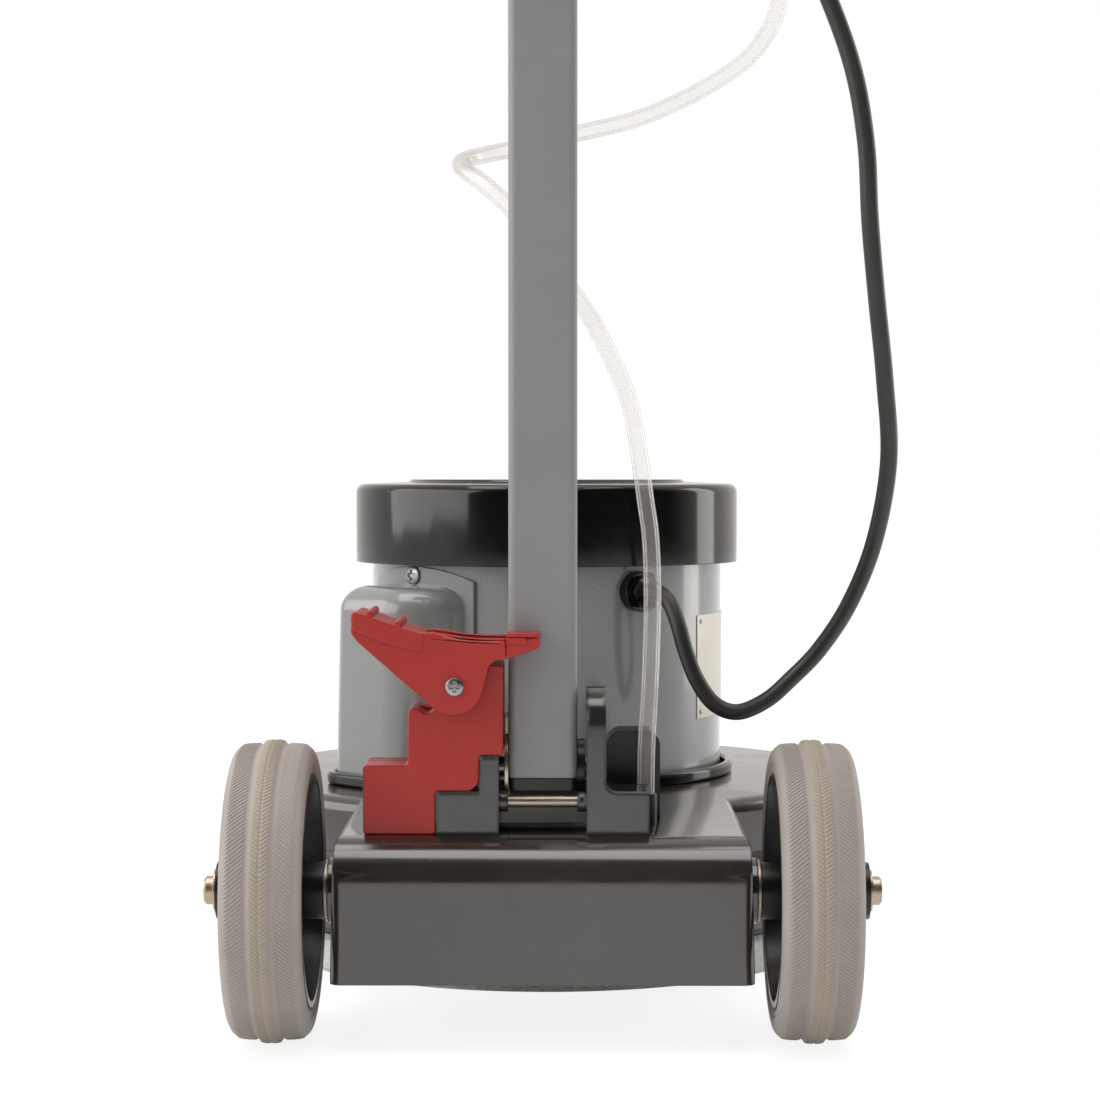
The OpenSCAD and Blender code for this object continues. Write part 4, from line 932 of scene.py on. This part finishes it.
@dataclass(frozen=True)
class Tyre:
    """A tyre with a ridge round its middle and slanting ribs on the ridge and beside it.

    Attributes:
        side: The side that it stands on.
        middle: Its middle's distance from the row's origin along X.
        ribs: Ribs round.
        rib: A rib's outline, as shares of the way to the next rib and of its height.
        rib_h: Height of a rib.
        rib_radius: Radius from which there are ribs.
        slope: How far a rib runs round for each millimetre across.
        fold: Distance from the middle where the ribs turn back.
        rolling: Radius that the slope is measured at.
        bands: For each band of ribs where it starts, over how much it rises, where it ends and over how
            much it falls, as distances from the middle.
        sharp: Angle from which an edge stays sharp, in degrees.
        half: Half the section, as radius and distance from the middle.
    """

    side: Side
    middle: float = 155.6
    ribs: int = 216
    rib: Outline = ((0.0, 0.0), (0.1, 1.0), (0.46, 1.0), (0.56, 0.0))
    rib_h: float = 0.5
    rib_radius: float = 83.0
    slope: float = 0.8
    fold: float = 7.0
    rolling: float = 85.0
    bands: tuple[tuple[float, ...], ...] = ((0.3, 0.6, 5.35, 0.5), (8.2, 0.7, 19.6, 1.0))
    sharp: float = 50.0
    half: Outline = (
        (67.0, 0.0), (67.0, 14.0), (67.0, 20.6), (67.4, 21.4), (69.0, 22.2), (70.6, 22.6), (71.2, 22.1),
        (72.0, 22.1), (72.6, 22.8), (75.0, 23.0), (77.6, 22.9), (79.6, 22.4), (81.2, 21.6), (82.4, 20.6),
        (83.3, 19.4), (83.9, 18.3), (84.15, 17.6), (84.3, 17.0), (84.5, 15.6), (84.65, 14.0),
        (84.75, 12.4), (84.8, 10.8), (84.8, 9.4), (84.75, 8.9), (84.6, 8.0), (84.6, 7.2), (84.9, 6.4),
        (85.5, 5.8), (86.0, 5.4), (86.35, 4.9), (86.6, 4.1), (86.75, 3.0), (86.8, 1.9), (86.8, 0.9),
        (86.6, 0.4), (86.4, 0.0))

    def lift(self, radius: float, across: float) -> float:
        """Works out a rib's height at a point of the section.

        Args:
            radius: The point's radius.
            across: Its distance from the middle.

        Returns:
            The height.
        """
        if radius <= self.rib_radius:
            return 0.0
        place = abs(across)
        return self.rib_h * max(smooth_step((place - low) / rise) * smooth_step((high - place) / fall)
                                for low, rise, high, fall in self.bands)

    def lean(self, across: float) -> float:
        """Returns the angle that the ribs run round by, at a distance from the middle."""
        distance = abs(across)
        return self.slope * (min(distance, self.fold) - max(0.0, distance - self.fold)) / self.rolling

    def build(self, shop: Shop) -> None:
        """Builds the tyre in place of the CAD node.

        Args:
            shop: The materials and the CAD nodes.
        """
        section = [(r, x) for r, x in self.half] + [(r, -x) for r, x in self.half[-2:0:-1]]
        shape = Shape()
        rows = []
        for number in range(self.ribs):
            for place, height in self.rib:
                row = []
                for radius, across in section:
                    turn = math.tau * (number + place) / self.ribs + self.lean(across)
                    out = radius + height * self.lift(radius, across)
                    row.append((self.side.value * self.middle + across,
                                AXLE[0] / MM - out * math.cos(turn), AXLE[1] / MM + out * math.sin(turn)))
                rows.append(row)
        shape.grid(rows, ring=True, loop=True)
        word = self.side.name.lower()
        shop.add(shape, f"tread_{word}", "tyre_grey", f"wheel_{word}", f"tyre_{word}",
                 sharp=math.radians(self.sharp))


@dataclass(frozen=True)
class Screw:
    """A Phillips screw's head that takes a CAD screw's place.

    Attributes:
        node: The CAD node.
        normal: Where the head faces.
        radius: The head's radius.
        rise: Height of the head's edge.
        slot: Its material slot.
        proud: How far its edge stands off the CAD screw's face.
        bulge: How round its top is.
        stretch: How much higher than round its top is.
        arm: Half the length of the cross's arms, half their width and their depth, as shares of the radius.
        arm_edges: Over how much an arm's sides and its ends fall off.
        arm_fall: How much of the fall lies inside the arm, at its sides and at its ends.
        arm_rise: How much less deep the arms are at the head's edge, as a share.
        face_depth: How thick a slice of the CAD screw counts as its face.
        rings: Rings of faces.
        spokes: Faces round.
    """

    node: str
    normal: Point3
    radius: float
    rise: float
    slot: str = "steel"
    proud: float = 0.3
    bulge: float = 0.55
    stretch: float = 2.2
    arm: Point3 = (0.58, 0.19, 0.275)
    arm_edges: Point2 = (0.35, 0.5)
    arm_fall: Point2 = (0.5, 0.3)
    arm_rise: float = 0.35
    face_depth: float = 0.05
    rings: int = 26
    spokes: int = 96

    def cross(self, u: float, v: float) -> float:
        """Works out how deep the cross is at a point of the head.

        Args:
            u: How far to the side of the middle the point lies.
            v: How far above the middle it lies.

        Returns:
            The depth, as a share.
        """
        length, width, _ = (self.radius * share for share in self.arm)
        (side, end), (side_fall, end_fall) = self.arm_edges, self.arm_fall
        return max(smooth_step((width - abs(a)) / side + side_fall)
                   * smooth_step((length - abs(b)) / end + end_fall) for a, b in ((u, v), (v, u)))

    def height(self, share: float, u: float, v: float) -> float:
        """Works out the head's height at a point.

        Args:
            share: The point's distance from the middle, as a share of the radius.
            u: How far to the side of the middle it lies.
            v: How far above the middle it lies.

        Returns:
            The height over the CAD screw's face.
        """
        dome = self.rise * (math.sqrt(max(0.0, 1 - self.bulge * share ** 2)) - math.sqrt(1 - self.bulge))
        depth = self.radius * self.arm[2] * self.cross(u, v) * (1 - self.arm_rise * share)
        return dome * self.stretch - self.rise - depth + self.proud

    def build(self, shop: Shop) -> None:
        """Builds the head at the CAD screw's face.

        Args:
            shop: The materials and the CAD nodes.
        """
        ahead = Vector(self.normal).normalized()
        points = [vertex.co / MM for vertex in shop.nodes[self.node].data.vertices]
        top = max(point.dot(ahead) for point in points)
        face = [point for point in points if point.dot(ahead) > top - self.face_depth]
        centre = sum(face, Vector()) / len(face)
        level = UP.cross(ahead).normalized()
        up = ahead.cross(level)
        rows = []
        for ring in range(self.rings + 1):
            share = ring / self.rings
            row = []
            for spoke in range(self.spokes):
                angle = math.tau * spoke / self.spokes
                u, v = (self.radius * share * f(angle) for f in (math.cos, math.sin))
                row.append(tuple(centre + level * u + up * v + ahead * self.height(share, u, v)))
            rows.append(row)
        edge = [tuple(Vector(point) - ahead * self.rise) for point in rows[-1]]
        shape = Shape()
        shape.grid([*rows, edge], ring=True)
        shop.add(shape, f"{self.node}_head", self.slot, "base", self.node)


@dataclass(frozen=True)
class Pedal:
    """The red foot pedal: a plate with a slab for the foot at the left and three lips at the right.

    Attributes:
        front: Place of the plate's face along Y.
        plate_back: Place of the plate's back.
        back: Place of the slab's and the lips' back.
        plate: The plate's corners, seen from behind.
        slab: The slab's corners.
        bed: The corners of what the lips stand on.
        lips: For each lip its front, its back and its top.
        lip: A lip's corners, with their heights over its top.
        ribs: Middles of the two ribs across the slab.
        rib_radius: Radius of those ribs.
        proud: How far the slab and its ribs stand before the plate, and the ribs behind the slab.
        bed_depth: How far behind the plate's face the bed starts.
        finger: The corners of the finger that pushes the index pin.
        finger_y: Where the finger starts and ends along Y.
    """

    front: float = -247.75
    plate_back: float = -236.4
    back: float = -195.75
    plate: Outline = (
        (-109.6, 238.0), (-106.1, 233.2), (-64.5, 197.0), (-60.2, 193.2), (-55.0, 191.0), (-49.6, 190.9),
        (-44.0, 192.2), (-39.2, 195.5), (-35.6, 200.3), (-33.9, 205.5), (-31.4, 216.8), (-29.8, 220.4),
        (-26.2, 222.4), (-21.05, 222.7), (-21.05, 232.6), (-40.0, 232.4), (-47.0, 233.6), (-57.0, 236.6),
        (-63.0, 238.4), (-68.0, 238.0), (-88.0, 242.6), (-106.5, 248.2), (-109.4, 246.8))
    slab: Outline = (
        (-109.7, 248.4), (-109.0, 240.2), (-106.6, 238.0), (-89.3, 231.6), (-69.0, 226.8), (-67.4, 236.6),
        (-69.5, 238.2), (-77.5, 240.6), (-86.0, 243.4), (-101.7, 248.9), (-107.4, 250.6))
    bed: Outline = (
        (-69.0, 228.0), (-55.0, 226.8), (-21.05, 226.8), (-21.05, 231.0), (-44.0, 231.2), (-52.0, 232.2),
        (-60.0, 233.4), (-69.0, 234.4))
    lips: tuple[Point3, ...] = ((-248.1, -243.4, 233.4), (-226.5, -222.0, 233.7), (-200.3, -195.75, 234.3))
    lip: Outline = (
        (-69.0, 0.6), (-68.0, 3.7), (-63.5, 3.5), (-56.4, 2.7), (-50.0, 1.5), (-44.5, 0.5), (-37.0, 0.0),
        (-21.05, 0.0), (-21.05, -3.2), (-37.0, -3.2), (-46.0, -2.4), (-56.0, -0.4))
    ribs: Outline = ((-99.0, 248.9), (-82.6, 243.2))
    rib_radius: float = 2.3
    proud: Point3 = (0.8, 0.9, 0.2)
    bed_depth: float = 2.0
    finger: Outline = ((-56.5, 199.5), (-44.0, 199.5), (-44.0, 228.0), (-56.5, 228.0))
    finger_y: Point2 = (-208.5, -203.0)

    def build(self, shop: Shop) -> None:
        """Builds the pedal in place of the CAD node.

        Args:
            shop: The materials and the CAD nodes.
        """
        shape = Shape()
        slab, rib_front, rib_back = self.proud
        shape.prism(rounded(self.plate, 1.6), self.front, self.plate_back, edge=0.9)
        shape.prism(rounded(self.slab, 1.8), self.front - slab, self.back, edge=1.2)
        shape.prism(rounded(self.bed, 0.8, steps=3), self.front + self.bed_depth, self.back, edge=0.6)
        for front, back, top in self.lips:
            shape.prism(rounded([(x, top + z) for x, z in self.lip], 2.4), front, back, edge=1.1)
        for rib in self.ribs:
            shape.prism(disc(rib, self.rib_radius), self.front - rib_front, self.back + rib_back, edge=1.5)
        shape.prism(rounded(self.finger, 1.0, steps=3), *self.finger_y, edge=0.5)
        shop.add(shape, "foot_pad", "lock_red", "pedal", "foot_pedal")


@dataclass(frozen=True)
class LockBlock:
    """The red block that the pedal rocks on, with the slot for the pedal's finger.

    Attributes:
        front: Place of its face along Y.
        back: Place of its back.
        slot: Where the finger's slot starts and ends along Y.
        overlap: How far its low middle reaches into the two halves.
        outline: Its corners, seen from behind.
        low_outline: The same where the slot is cut.
    """

    front: float = -235.75
    back: float = -191.75
    slot: Point2 = (-209.4, -202.1)
    overlap: float = 3.0
    outline: Outline = (
        (-103.7, 121.0), (-61.7, 121.0), (-61.7, 146.0), (-41.5, 146.0), (-36.5, 151.0), (-36.5, 166.5),
        (-22.8, 166.5), (-22.8, 219.0), (-36.0, 219.0), (-37.5, 211.0), (-42.0, 216.0), (-50.3, 218.2),
        (-57.0, 216.0), (-61.3, 209.0), (-61.3, 195.0), (-63.0, 192.6), (-66.5, 190.6), (-69.5, 191.6),
        (-71.6, 194.0), (-75.8, 194.2), (-77.6, 192.0), (-77.6, 161.2), (-103.7, 161.2))
    low_outline: Outline = (
        *outline[:8], (-38.2, 219.0), (-38.2, 176.0), (-62.4, 176.0), (-62.4, 192.0), *outline[18:])

    def build(self, shop: Shop) -> None:
        """Builds the block in place of the CAD node.

        Args:
            shop: The materials and the CAD nodes.
        """
        shape = Shape()
        outline, low_outline = (rounded(corners, 2.2) for corners in (self.outline, self.low_outline))
        shape.prism(outline, self.front, self.slot[0], edge=1.0)
        shape.prism(outline, self.slot[1], self.back, edge=1.0)
        shape.prism(low_outline, self.slot[0] - self.overlap, self.slot[1] + self.overlap, edge=0.2)
        shop.add(shape, "pedal_block", "lock_red", "base", "lock_block")


@dataclass(frozen=True)
class TubeCatch:
    """The ends of the pedal's lips that lie across the tube.

    Attributes:
        front: Place of its face along Y.
        tube: Place of the tube's face along Y.
        depth: Depth of its body along Y.
        body: Its corners, seen from behind.
        lips: The corners of its two lips.
        proud: How far each lip stands before the face.
        arm: The corners of what holds it to the tube.
        arm_depth: How far behind the face the arm starts.
    """

    front: float = -247.0
    tube: float = -225.8
    depth: float = 5.0
    body: Outline = (
        (-20.8, 222.9), (-20.8, 233.2), (-10.4, 233.2), (-8.4, 235.0), (-2.0, 235.4), (-1.2, 233.4),
        (-1.2, 231.0), (-3.0, 229.0))
    lips: tuple[Outline, ...] = (
        ((-20.8, 231.6), (-20.8, 235.2), (-9.4, 235.2), (-8.4, 234.0), (-9.0, 231.6)),
        ((-20.8, 235.7), (-20.8, 237.9), (-2.0, 237.9), (-1.0, 236.8), (-1.4, 235.7)))
    proud: Point2 = (0.7, 0.2)
    arm: Outline = ((-20.0, 226.0), (-20.0, 236.5), (-4.0, 236.5), (-4.0, 230.5))
    arm_depth: float = 3.0

    def build(self, shop: Shop) -> None:
        """Builds the catch in place of the CAD node.

        Args:
            shop: The materials and the CAD nodes.
        """
        shape = Shape()
        shape.prism(rounded(self.body, 1.6), self.front, self.front + self.depth, edge=0.8)
        for lip, proud in zip(self.lips, self.proud):
            shape.prism(rounded(lip, 0.8, steps=3), self.front - proud, self.tube, edge=0.5)
        shape.prism(rounded(self.arm, 1.0, steps=3), self.front + self.arm_depth, self.tube, edge=0.4)
        shop.add(shape, "lip_ends", "lock_red", "handle", "tube_catch")


@dataclass(frozen=True)
class CapacitorCover:
    """The cover at the motor's left, with its soft top and its flange round the motor.

    Attributes:
        wall: The motor's radius.
        reach: Distance from the motor's axis to the cover's outer face.
        half: Half the body's width.
        corners: Radii of the body's two upright corners.
        corner_least: Least radius of a corner.
        corner_share: How much of a depth the corners' radii lose.
        bow: How far its face is bowed.
        unbowed: How far out the sides stay straight.
        sunk: How deep its sides stand in the motor's wall.
        flank: Where the second point of its left and of its right side stands.
        bottom: Height of its foot.
        top: Height of the body's top.
        soft: Radius of the rounding at the top.
        lean: How much wider the foot is on each side.
        flange_half: Half the flange's width.
        flange_top: The flange's top in its middle.
        arch: Radius of the flange's top.
        foot: The flange's section at its foot, as distances off the motor and over the bottom.
        head: The same at its top, with heights over the arch.
    """

    wall: float = 122.3
    reach: float = 160.4
    half: float = 42.0
    corners: Point2 = (13.0, 33.0)
    corner_least: float = 2.0
    corner_share: float = 0.6
    bow: float = 2.2
    unbowed: float = 20.0
    sunk: float = 4.0
    flank: Point2 = (8.0, 2.0)
    bottom: float = 125.0
    top: float = 254.0
    soft: float = 17.0
    lean: float = 2.2
    flange_half: float = 48.5
    flange_top: float = 267.0
    arch: float = 128.5
    foot: Outline = ((0.0, 0.0), (2.5, 0.0), (3.0, 0.5))
    head: Outline = ((3.0, -0.7), (2.8, -0.2), (2.3, 0.0), (0.0, 0.0))

    def world(self, u: float, out: float, z: float) -> Point3:
        """Returns the row's point for one across the cover, out from the motor's axis, and up."""
        share = math.sqrt(0.5)
        return ((u - out) * share, MOTOR_Y - (u + out) * share, z)

    def section(self, depth: float, z: float, steps: int = 10) -> list[Point3]:
        """Works out the body's outline at a height.

        Args:
            depth: How far inside the body's own outline it lies.
            z: The height.
            steps: Edges to a rounded corner.

        Returns:
            The outline's points.
        """
        half, reach = self.half - depth, self.reach - depth
        start = math.sqrt(self.wall ** 2 - self.half ** 2) - self.sunk
        line = [(-half, start), (-half, start + self.flank[0])]
        for side, first, radius in zip((-1, 1), (math.pi, QUARTER), self.corners):
            corner = max(self.corner_least, radius - self.corner_share * depth)
            for step in range(steps + 1):
                turn = first - QUARTER * step / steps
                line.append((side * (half - corner) + corner * math.cos(turn),
                             reach - corner + corner * math.sin(turn)))
        line += [(half, start + self.flank[1]), (half, start)]
        return [self.world(u, out + self.bow * (1 - (u / half) ** 2) * (out > start + self.unbowed), z)
                for u, out in line]

    def body(self, shape: Shape, levels: int = 5, steps: int = 12) -> None:
        """Draws the body.

        Args:
            shape: What it is drawn in.
            levels: Rows of faces up to its shoulder.
            steps: Rows of faces over its rounded top.
        """
        shoulder = self.top - self.soft
        rows = []
        for level in range(levels + 1):
            share = level / levels
            z = self.bottom + (shoulder - self.bottom) * share
            rows.append(self.section(-self.lean * (1 - share), z))
        for step in range(1, steps + 1):
            turn = QUARTER * step / steps
            rows.append(self.section(self.soft * (1 - math.cos(turn)), shoulder + self.soft * math.sin(turn)))
        shape.faces.append(tuple(shape.grid(rows)[-1]))

    def flange(self, shape: Shape, steps: int = 60) -> None:
        """Draws the flange.

        Args:
            shape: What it is drawn in.
            steps: Faces across.
        """
        rows = []
        for step in range(steps + 1):
            u = self.flange_half * (2 * step / steps - 1)
            crown = self.flange_top - self.arch + math.sqrt(self.arch ** 2 - u ** 2)
            across, ahead = math.sin(u / self.wall), math.cos(u / self.wall)
            rows.append([self.world((self.wall + out) * across, (self.wall + out) * ahead, base + z)
                         for base, part in ((self.bottom, self.foot), (crown, self.head)) for out, z in part])
        shape.cap(shape.grid(rows, ring=True))

    def build(self, shop: Shop) -> None:
        """Builds the cover in place of the CAD node.

        Args:
            shop: The materials and the CAD nodes.
        """
        shape = Shape()
        self.body(shape)
        self.flange(shape)
        shop.add(shape, "capacitor_housing", "motor_grey", "base", "capacitor_cover")


@dataclass(frozen=True)
class BarePlate:
    """The bare plate on the motor's side, with a rivet at each corner.

    Attributes:
        wall: The motor's radius.
        arc: Where it starts and ends round the motor from the rear, in degrees.
        low: Height of its lower edge.
        high: Height of its upper edge.
        rim: Its section at an edge, as distances off the motor and in from the edge.
        rivet_in: How far in the rivets stand, in degrees and in millimetres.
        rivet_seat: How far off the motor they start.
        rivet_size: A rivet's height and radius.
    """

    wall: float = 122.0
    arc: Point2 = (57.0, 101.0)
    low: float = 162.5
    high: float = 233.0
    rim: Outline = ((0.02, 0.0), (0.5, 0.0), (0.6, 0.4))
    rivet_in: Point2 = (2.2, 4.5)
    rivet_seat: float = 0.5
    rivet_size: Point2 = (1.0, 1.7)

    def build(self, shop: Shop) -> None:
        """Builds the plate and its rivets.

        Args:
            shop: The materials and the CAD nodes.
        """
        pieces = ((self.plate(), "bare_plate", "tank_white", PLATE.build()),
                  (self.rivets(), "plate_rivets", "steel", shop.materials["steel"]))
        for shape, name, slot, material in pieces:
            thing = shape.make(name, material)
            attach(thing, "base")

    def plate(self, steps: int = 40) -> Shape:
        """Draws the plate, bent round the motor.

        Args:
            steps: Faces round.

        Returns:
            Its shape.
        """
        section = [(out, self.low + z) for out, z in self.rim]
        section += [(out, self.high - z) for out, z in reversed(self.rim)]
        first, last = self.arc
        shape = Shape()
        rows = [[self.at(first + (last - first) * step / steps, out, z) for out, z in section]
                for step in range(steps + 1)]
        shape.cap(shape.grid(rows, ring=True))
        return shape

    def rivets(self) -> Shape:
        """Draws the four rivets.

        Returns:
            Their shape.
        """
        shape = Shape()
        turn, rise = self.rivet_in
        for degrees in (self.arc[0] + turn, self.arc[1] - turn):
            for z in (self.low + rise, self.high - rise):
                ahead = Vector((math.sin(math.radians(degrees)), -math.cos(math.radians(degrees)), 0))
                self.rivet(shape, Vector(self.at(degrees, self.rivet_seat, z)), ahead)
        return shape

    def at(self, degrees: float, out: float, z: float) -> Point3:
        """Returns a point at a distance off the motor's wall, at an angle from the rear."""
        angle, radius = math.radians(degrees), self.wall + out
        return (radius * math.sin(angle), MOTOR_Y - radius * math.cos(angle), z)

    def rivet(self, shape: Shape, seat: Vector, ahead: Vector, rings: int = 4, spokes: int = 20) -> None:
        """Adds a domed head to a shape.

        Args:
            shape: The shape.
            seat: The middle of the head's foot.
            ahead: Where the head faces.
            rings: Rings of faces.
            spokes: Faces round.
        """
        height, radius = self.rivet_size
        side = UP.cross(ahead)
        rows = []
        for ring in range(rings + 1):
            tilt = QUARTER * ring / rings
            rows.append([tuple(seat + ahead * (height * math.cos(tilt))
                               + (side * math.cos(turn) + UP * math.sin(turn)) * (radius * math.sin(tilt)))
                         for turn in (math.tau * spoke / spokes for spoke in range(spokes))])
        shape.grid(rows, ring=True)


@dataclass(frozen=True)
class Lamp:
    """A rectangular lamp.

    Attributes:
        name: Its name.
        place: Where it stands, in metres.
        aim: The point that it faces, in metres.
        size: Its width and height, in metres.
        power: Its power, in watts.
        colour: The colour of its light, linear.
    """

    name: str
    place: Point3
    aim: Point3
    size: Point2
    power: float
    colour: Rgb

    def build(self) -> None:
        """Sets up the lamp."""
        light = bpy.data.lights.new(self.name, "AREA")
        light.shape = "RECTANGLE"
        light.size, light.size_y = self.size
        light.energy, light.color = self.power, self.colour
        thing = put(self.name, light)
        thing.location = self.place
        thing.rotation_euler = (Vector(self.aim) - Vector(self.place)).to_track_quat("-Z", "Y").to_euler()


@dataclass(frozen=True)
class Studio:
    """The floor, the light and the camera.

    Attributes:
        camera_place: Where the camera stands, in metres.
        camera_turn: How it is turned, in degrees.
        lens: Its focal length, in millimetres.
        sensor: Width of its sensor, in millimetres.
        lamps: The lamps.
        floor_half: Half the floor's width, in millimetres.
        floor_drop: How far the floor lies under the machine, in millimetres.
        floor_grey: The floor's grey for the light that it throws back.
        floor_seen: Its grey where it is seen or mirrored.
        floor_glow: Strength of its own white there.
        plain: Strength of the light from all round.
        mirrored: Colour of the background in a mirroring surface, linear.
        dark_turn: How far right of the rear the mirrored background's dark part lies, in degrees.
        dark_reach: Cosines to the opposite direction at which it starts to fade and at which it ends.
        dark_level: Strength of the mirrored background in it, and beyond it.
    """

    camera_place: Point3 = (0.0127, -1.7295, 0.3297)
    camera_turn: Point3 = (88.297, 0.0, 0.324)
    lens: float = 85.09
    sensor: float = 36.0
    lamps: tuple[Lamp, ...] = (
        Lamp("left softbox", (-1.95, -0.5, 1.0), (0.0, 0.0, 0.25), (2.4, 1.4), 24.0, (1.0, 0.98, 0.95)),
        Lamp("right strip", (1.75, 0.65, 0.75), (0.0, 0.0, 0.25), (0.6, 1.5), 8.0, (1.0, 0.97, 0.93)),
        Lamp("overhead", (-0.1, -0.35, 2.5), (0.0, -0.1, 0.2), (2.2, 1.6), 30.0, (1.0, 1.0, 1.0)),
    )
    floor_half: float = 9000.0
    floor_drop: float = 0.05
    floor_grey: float = 0.8
    floor_seen: float = 0.22
    floor_glow: float = 0.86
    plain: float = 0.66
    mirrored: Rgb = (1.0, 0.96, 0.92)
    dark_turn: float = 22.0
    dark_reach: Point2 = (-0.6, 0.0)
    dark_level: Point2 = (0.03, 0.9)

    def build(self) -> None:
        """Sets up the studio."""
        self.floor()
        self.world()
        for lamp in self.lamps:
            lamp.build()
        self.camera()

    def floor(self) -> None:
        """Lays a white floor that keeps a faint shadow."""
        ends = (-self.floor_half, self.floor_half)
        shape = Shape()
        shape.grid([[(x, y, -self.floor_drop) for x in ends] for y in ends])
        g = Graph(bpy.data.materials.new("white floor"), "OutputMaterial")
        rays = g.add("LightPath").outputs
        seen = g.calc("MAXIMUM", rays["Is Camera Ray"], rays["Is Glossy Ray"])
        seen = g.calc("MAXIMUM", seen, rays["Is Transmission Ray"])
        matt, pale = (g.add("BsdfDiffuse", Color=(grey, grey, grey, 1)).outputs[0]
                      for grey in (self.floor_grey, self.floor_seen))
        glow = g.add("Emission", Strength=self.floor_glow).outputs[0]
        g.feed(g.surface, g.join(seen, matt, g.add("AddShader", pale, glow).outputs[0]))
        shape.make("floor", g.owner)

    def world(self) -> None:
        """Lights the scene evenly. The background is seen white, and mirrored with a dark part."""
        world = bpy.data.worlds.new("studio")
        bpy.context.scene.world = world
        g = Graph(world, "OutputWorld")
        rays = g.add("LightPath").outputs
        turn = math.radians(self.dark_turn)
        opposite = (-math.sin(turn), math.cos(turn), 0)
        cosine = g.add("VectorMath", g.add("TexCoord").outputs["Generated"], opposite)
        cosine.operation = "DOT_PRODUCT"
        level = g.span(cosine.outputs["Value"], *self.dark_reach, *self.dark_level)
        level.node.interpolation_type = "SMOOTHSTEP"
        lights = ((WHITE, self.plain), (self.mirrored, level), (WHITE, 1.0))
        plain, mirrored, white = (g.add("Background", Color=(*colour, 1), Strength=strength).outputs[0]
                                  for colour, strength in lights)
        seen = g.calc("MAXIMUM", rays["Is Camera Ray"], rays["Is Transmission Ray"])
        g.feed(g.surface, g.join(seen, g.join(rays["Is Glossy Ray"], plain, mirrored), white))

    def camera(self) -> None:
        """Stands the camera where the photograph was taken from."""
        lens = bpy.data.cameras.new("camera")
        lens.lens, lens.sensor_width = self.lens, self.sensor
        thing = put("camera", lens)
        thing.location = self.camera_place
        thing.rotation_euler = tuple(math.radians(angle) for angle in self.camera_turn)
        scene = bpy.context.scene
        scene.camera = thing
        scene.view_settings.view_transform = "Standard"


def main() -> None:
    """Builds the looks around the frame."""
    logging.basicConfig(level=logging.INFO)
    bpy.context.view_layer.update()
    shop = Shop()
    shop.paint()
    log.info("painted %d nodes", len(shop.nodes))
    parts = (*CORDS, *(Tyre(side) for side in Side), Pedal(), LockBlock(), TubeCatch(), CapacitorCover(),
             Screw("pedal_screw", (0, -1, 0), radius=5.15, rise=1.6),
             Screw("cover_screws", (-1, -1, 0), radius=6.3, rise=1.9), BarePlate())
    for part in parts:
        part.build(shop)
        log.info("built %s", type(part).__name__)
    Studio().build()
    log.info("built the studio")


if __name__ == "__main__":
    main()
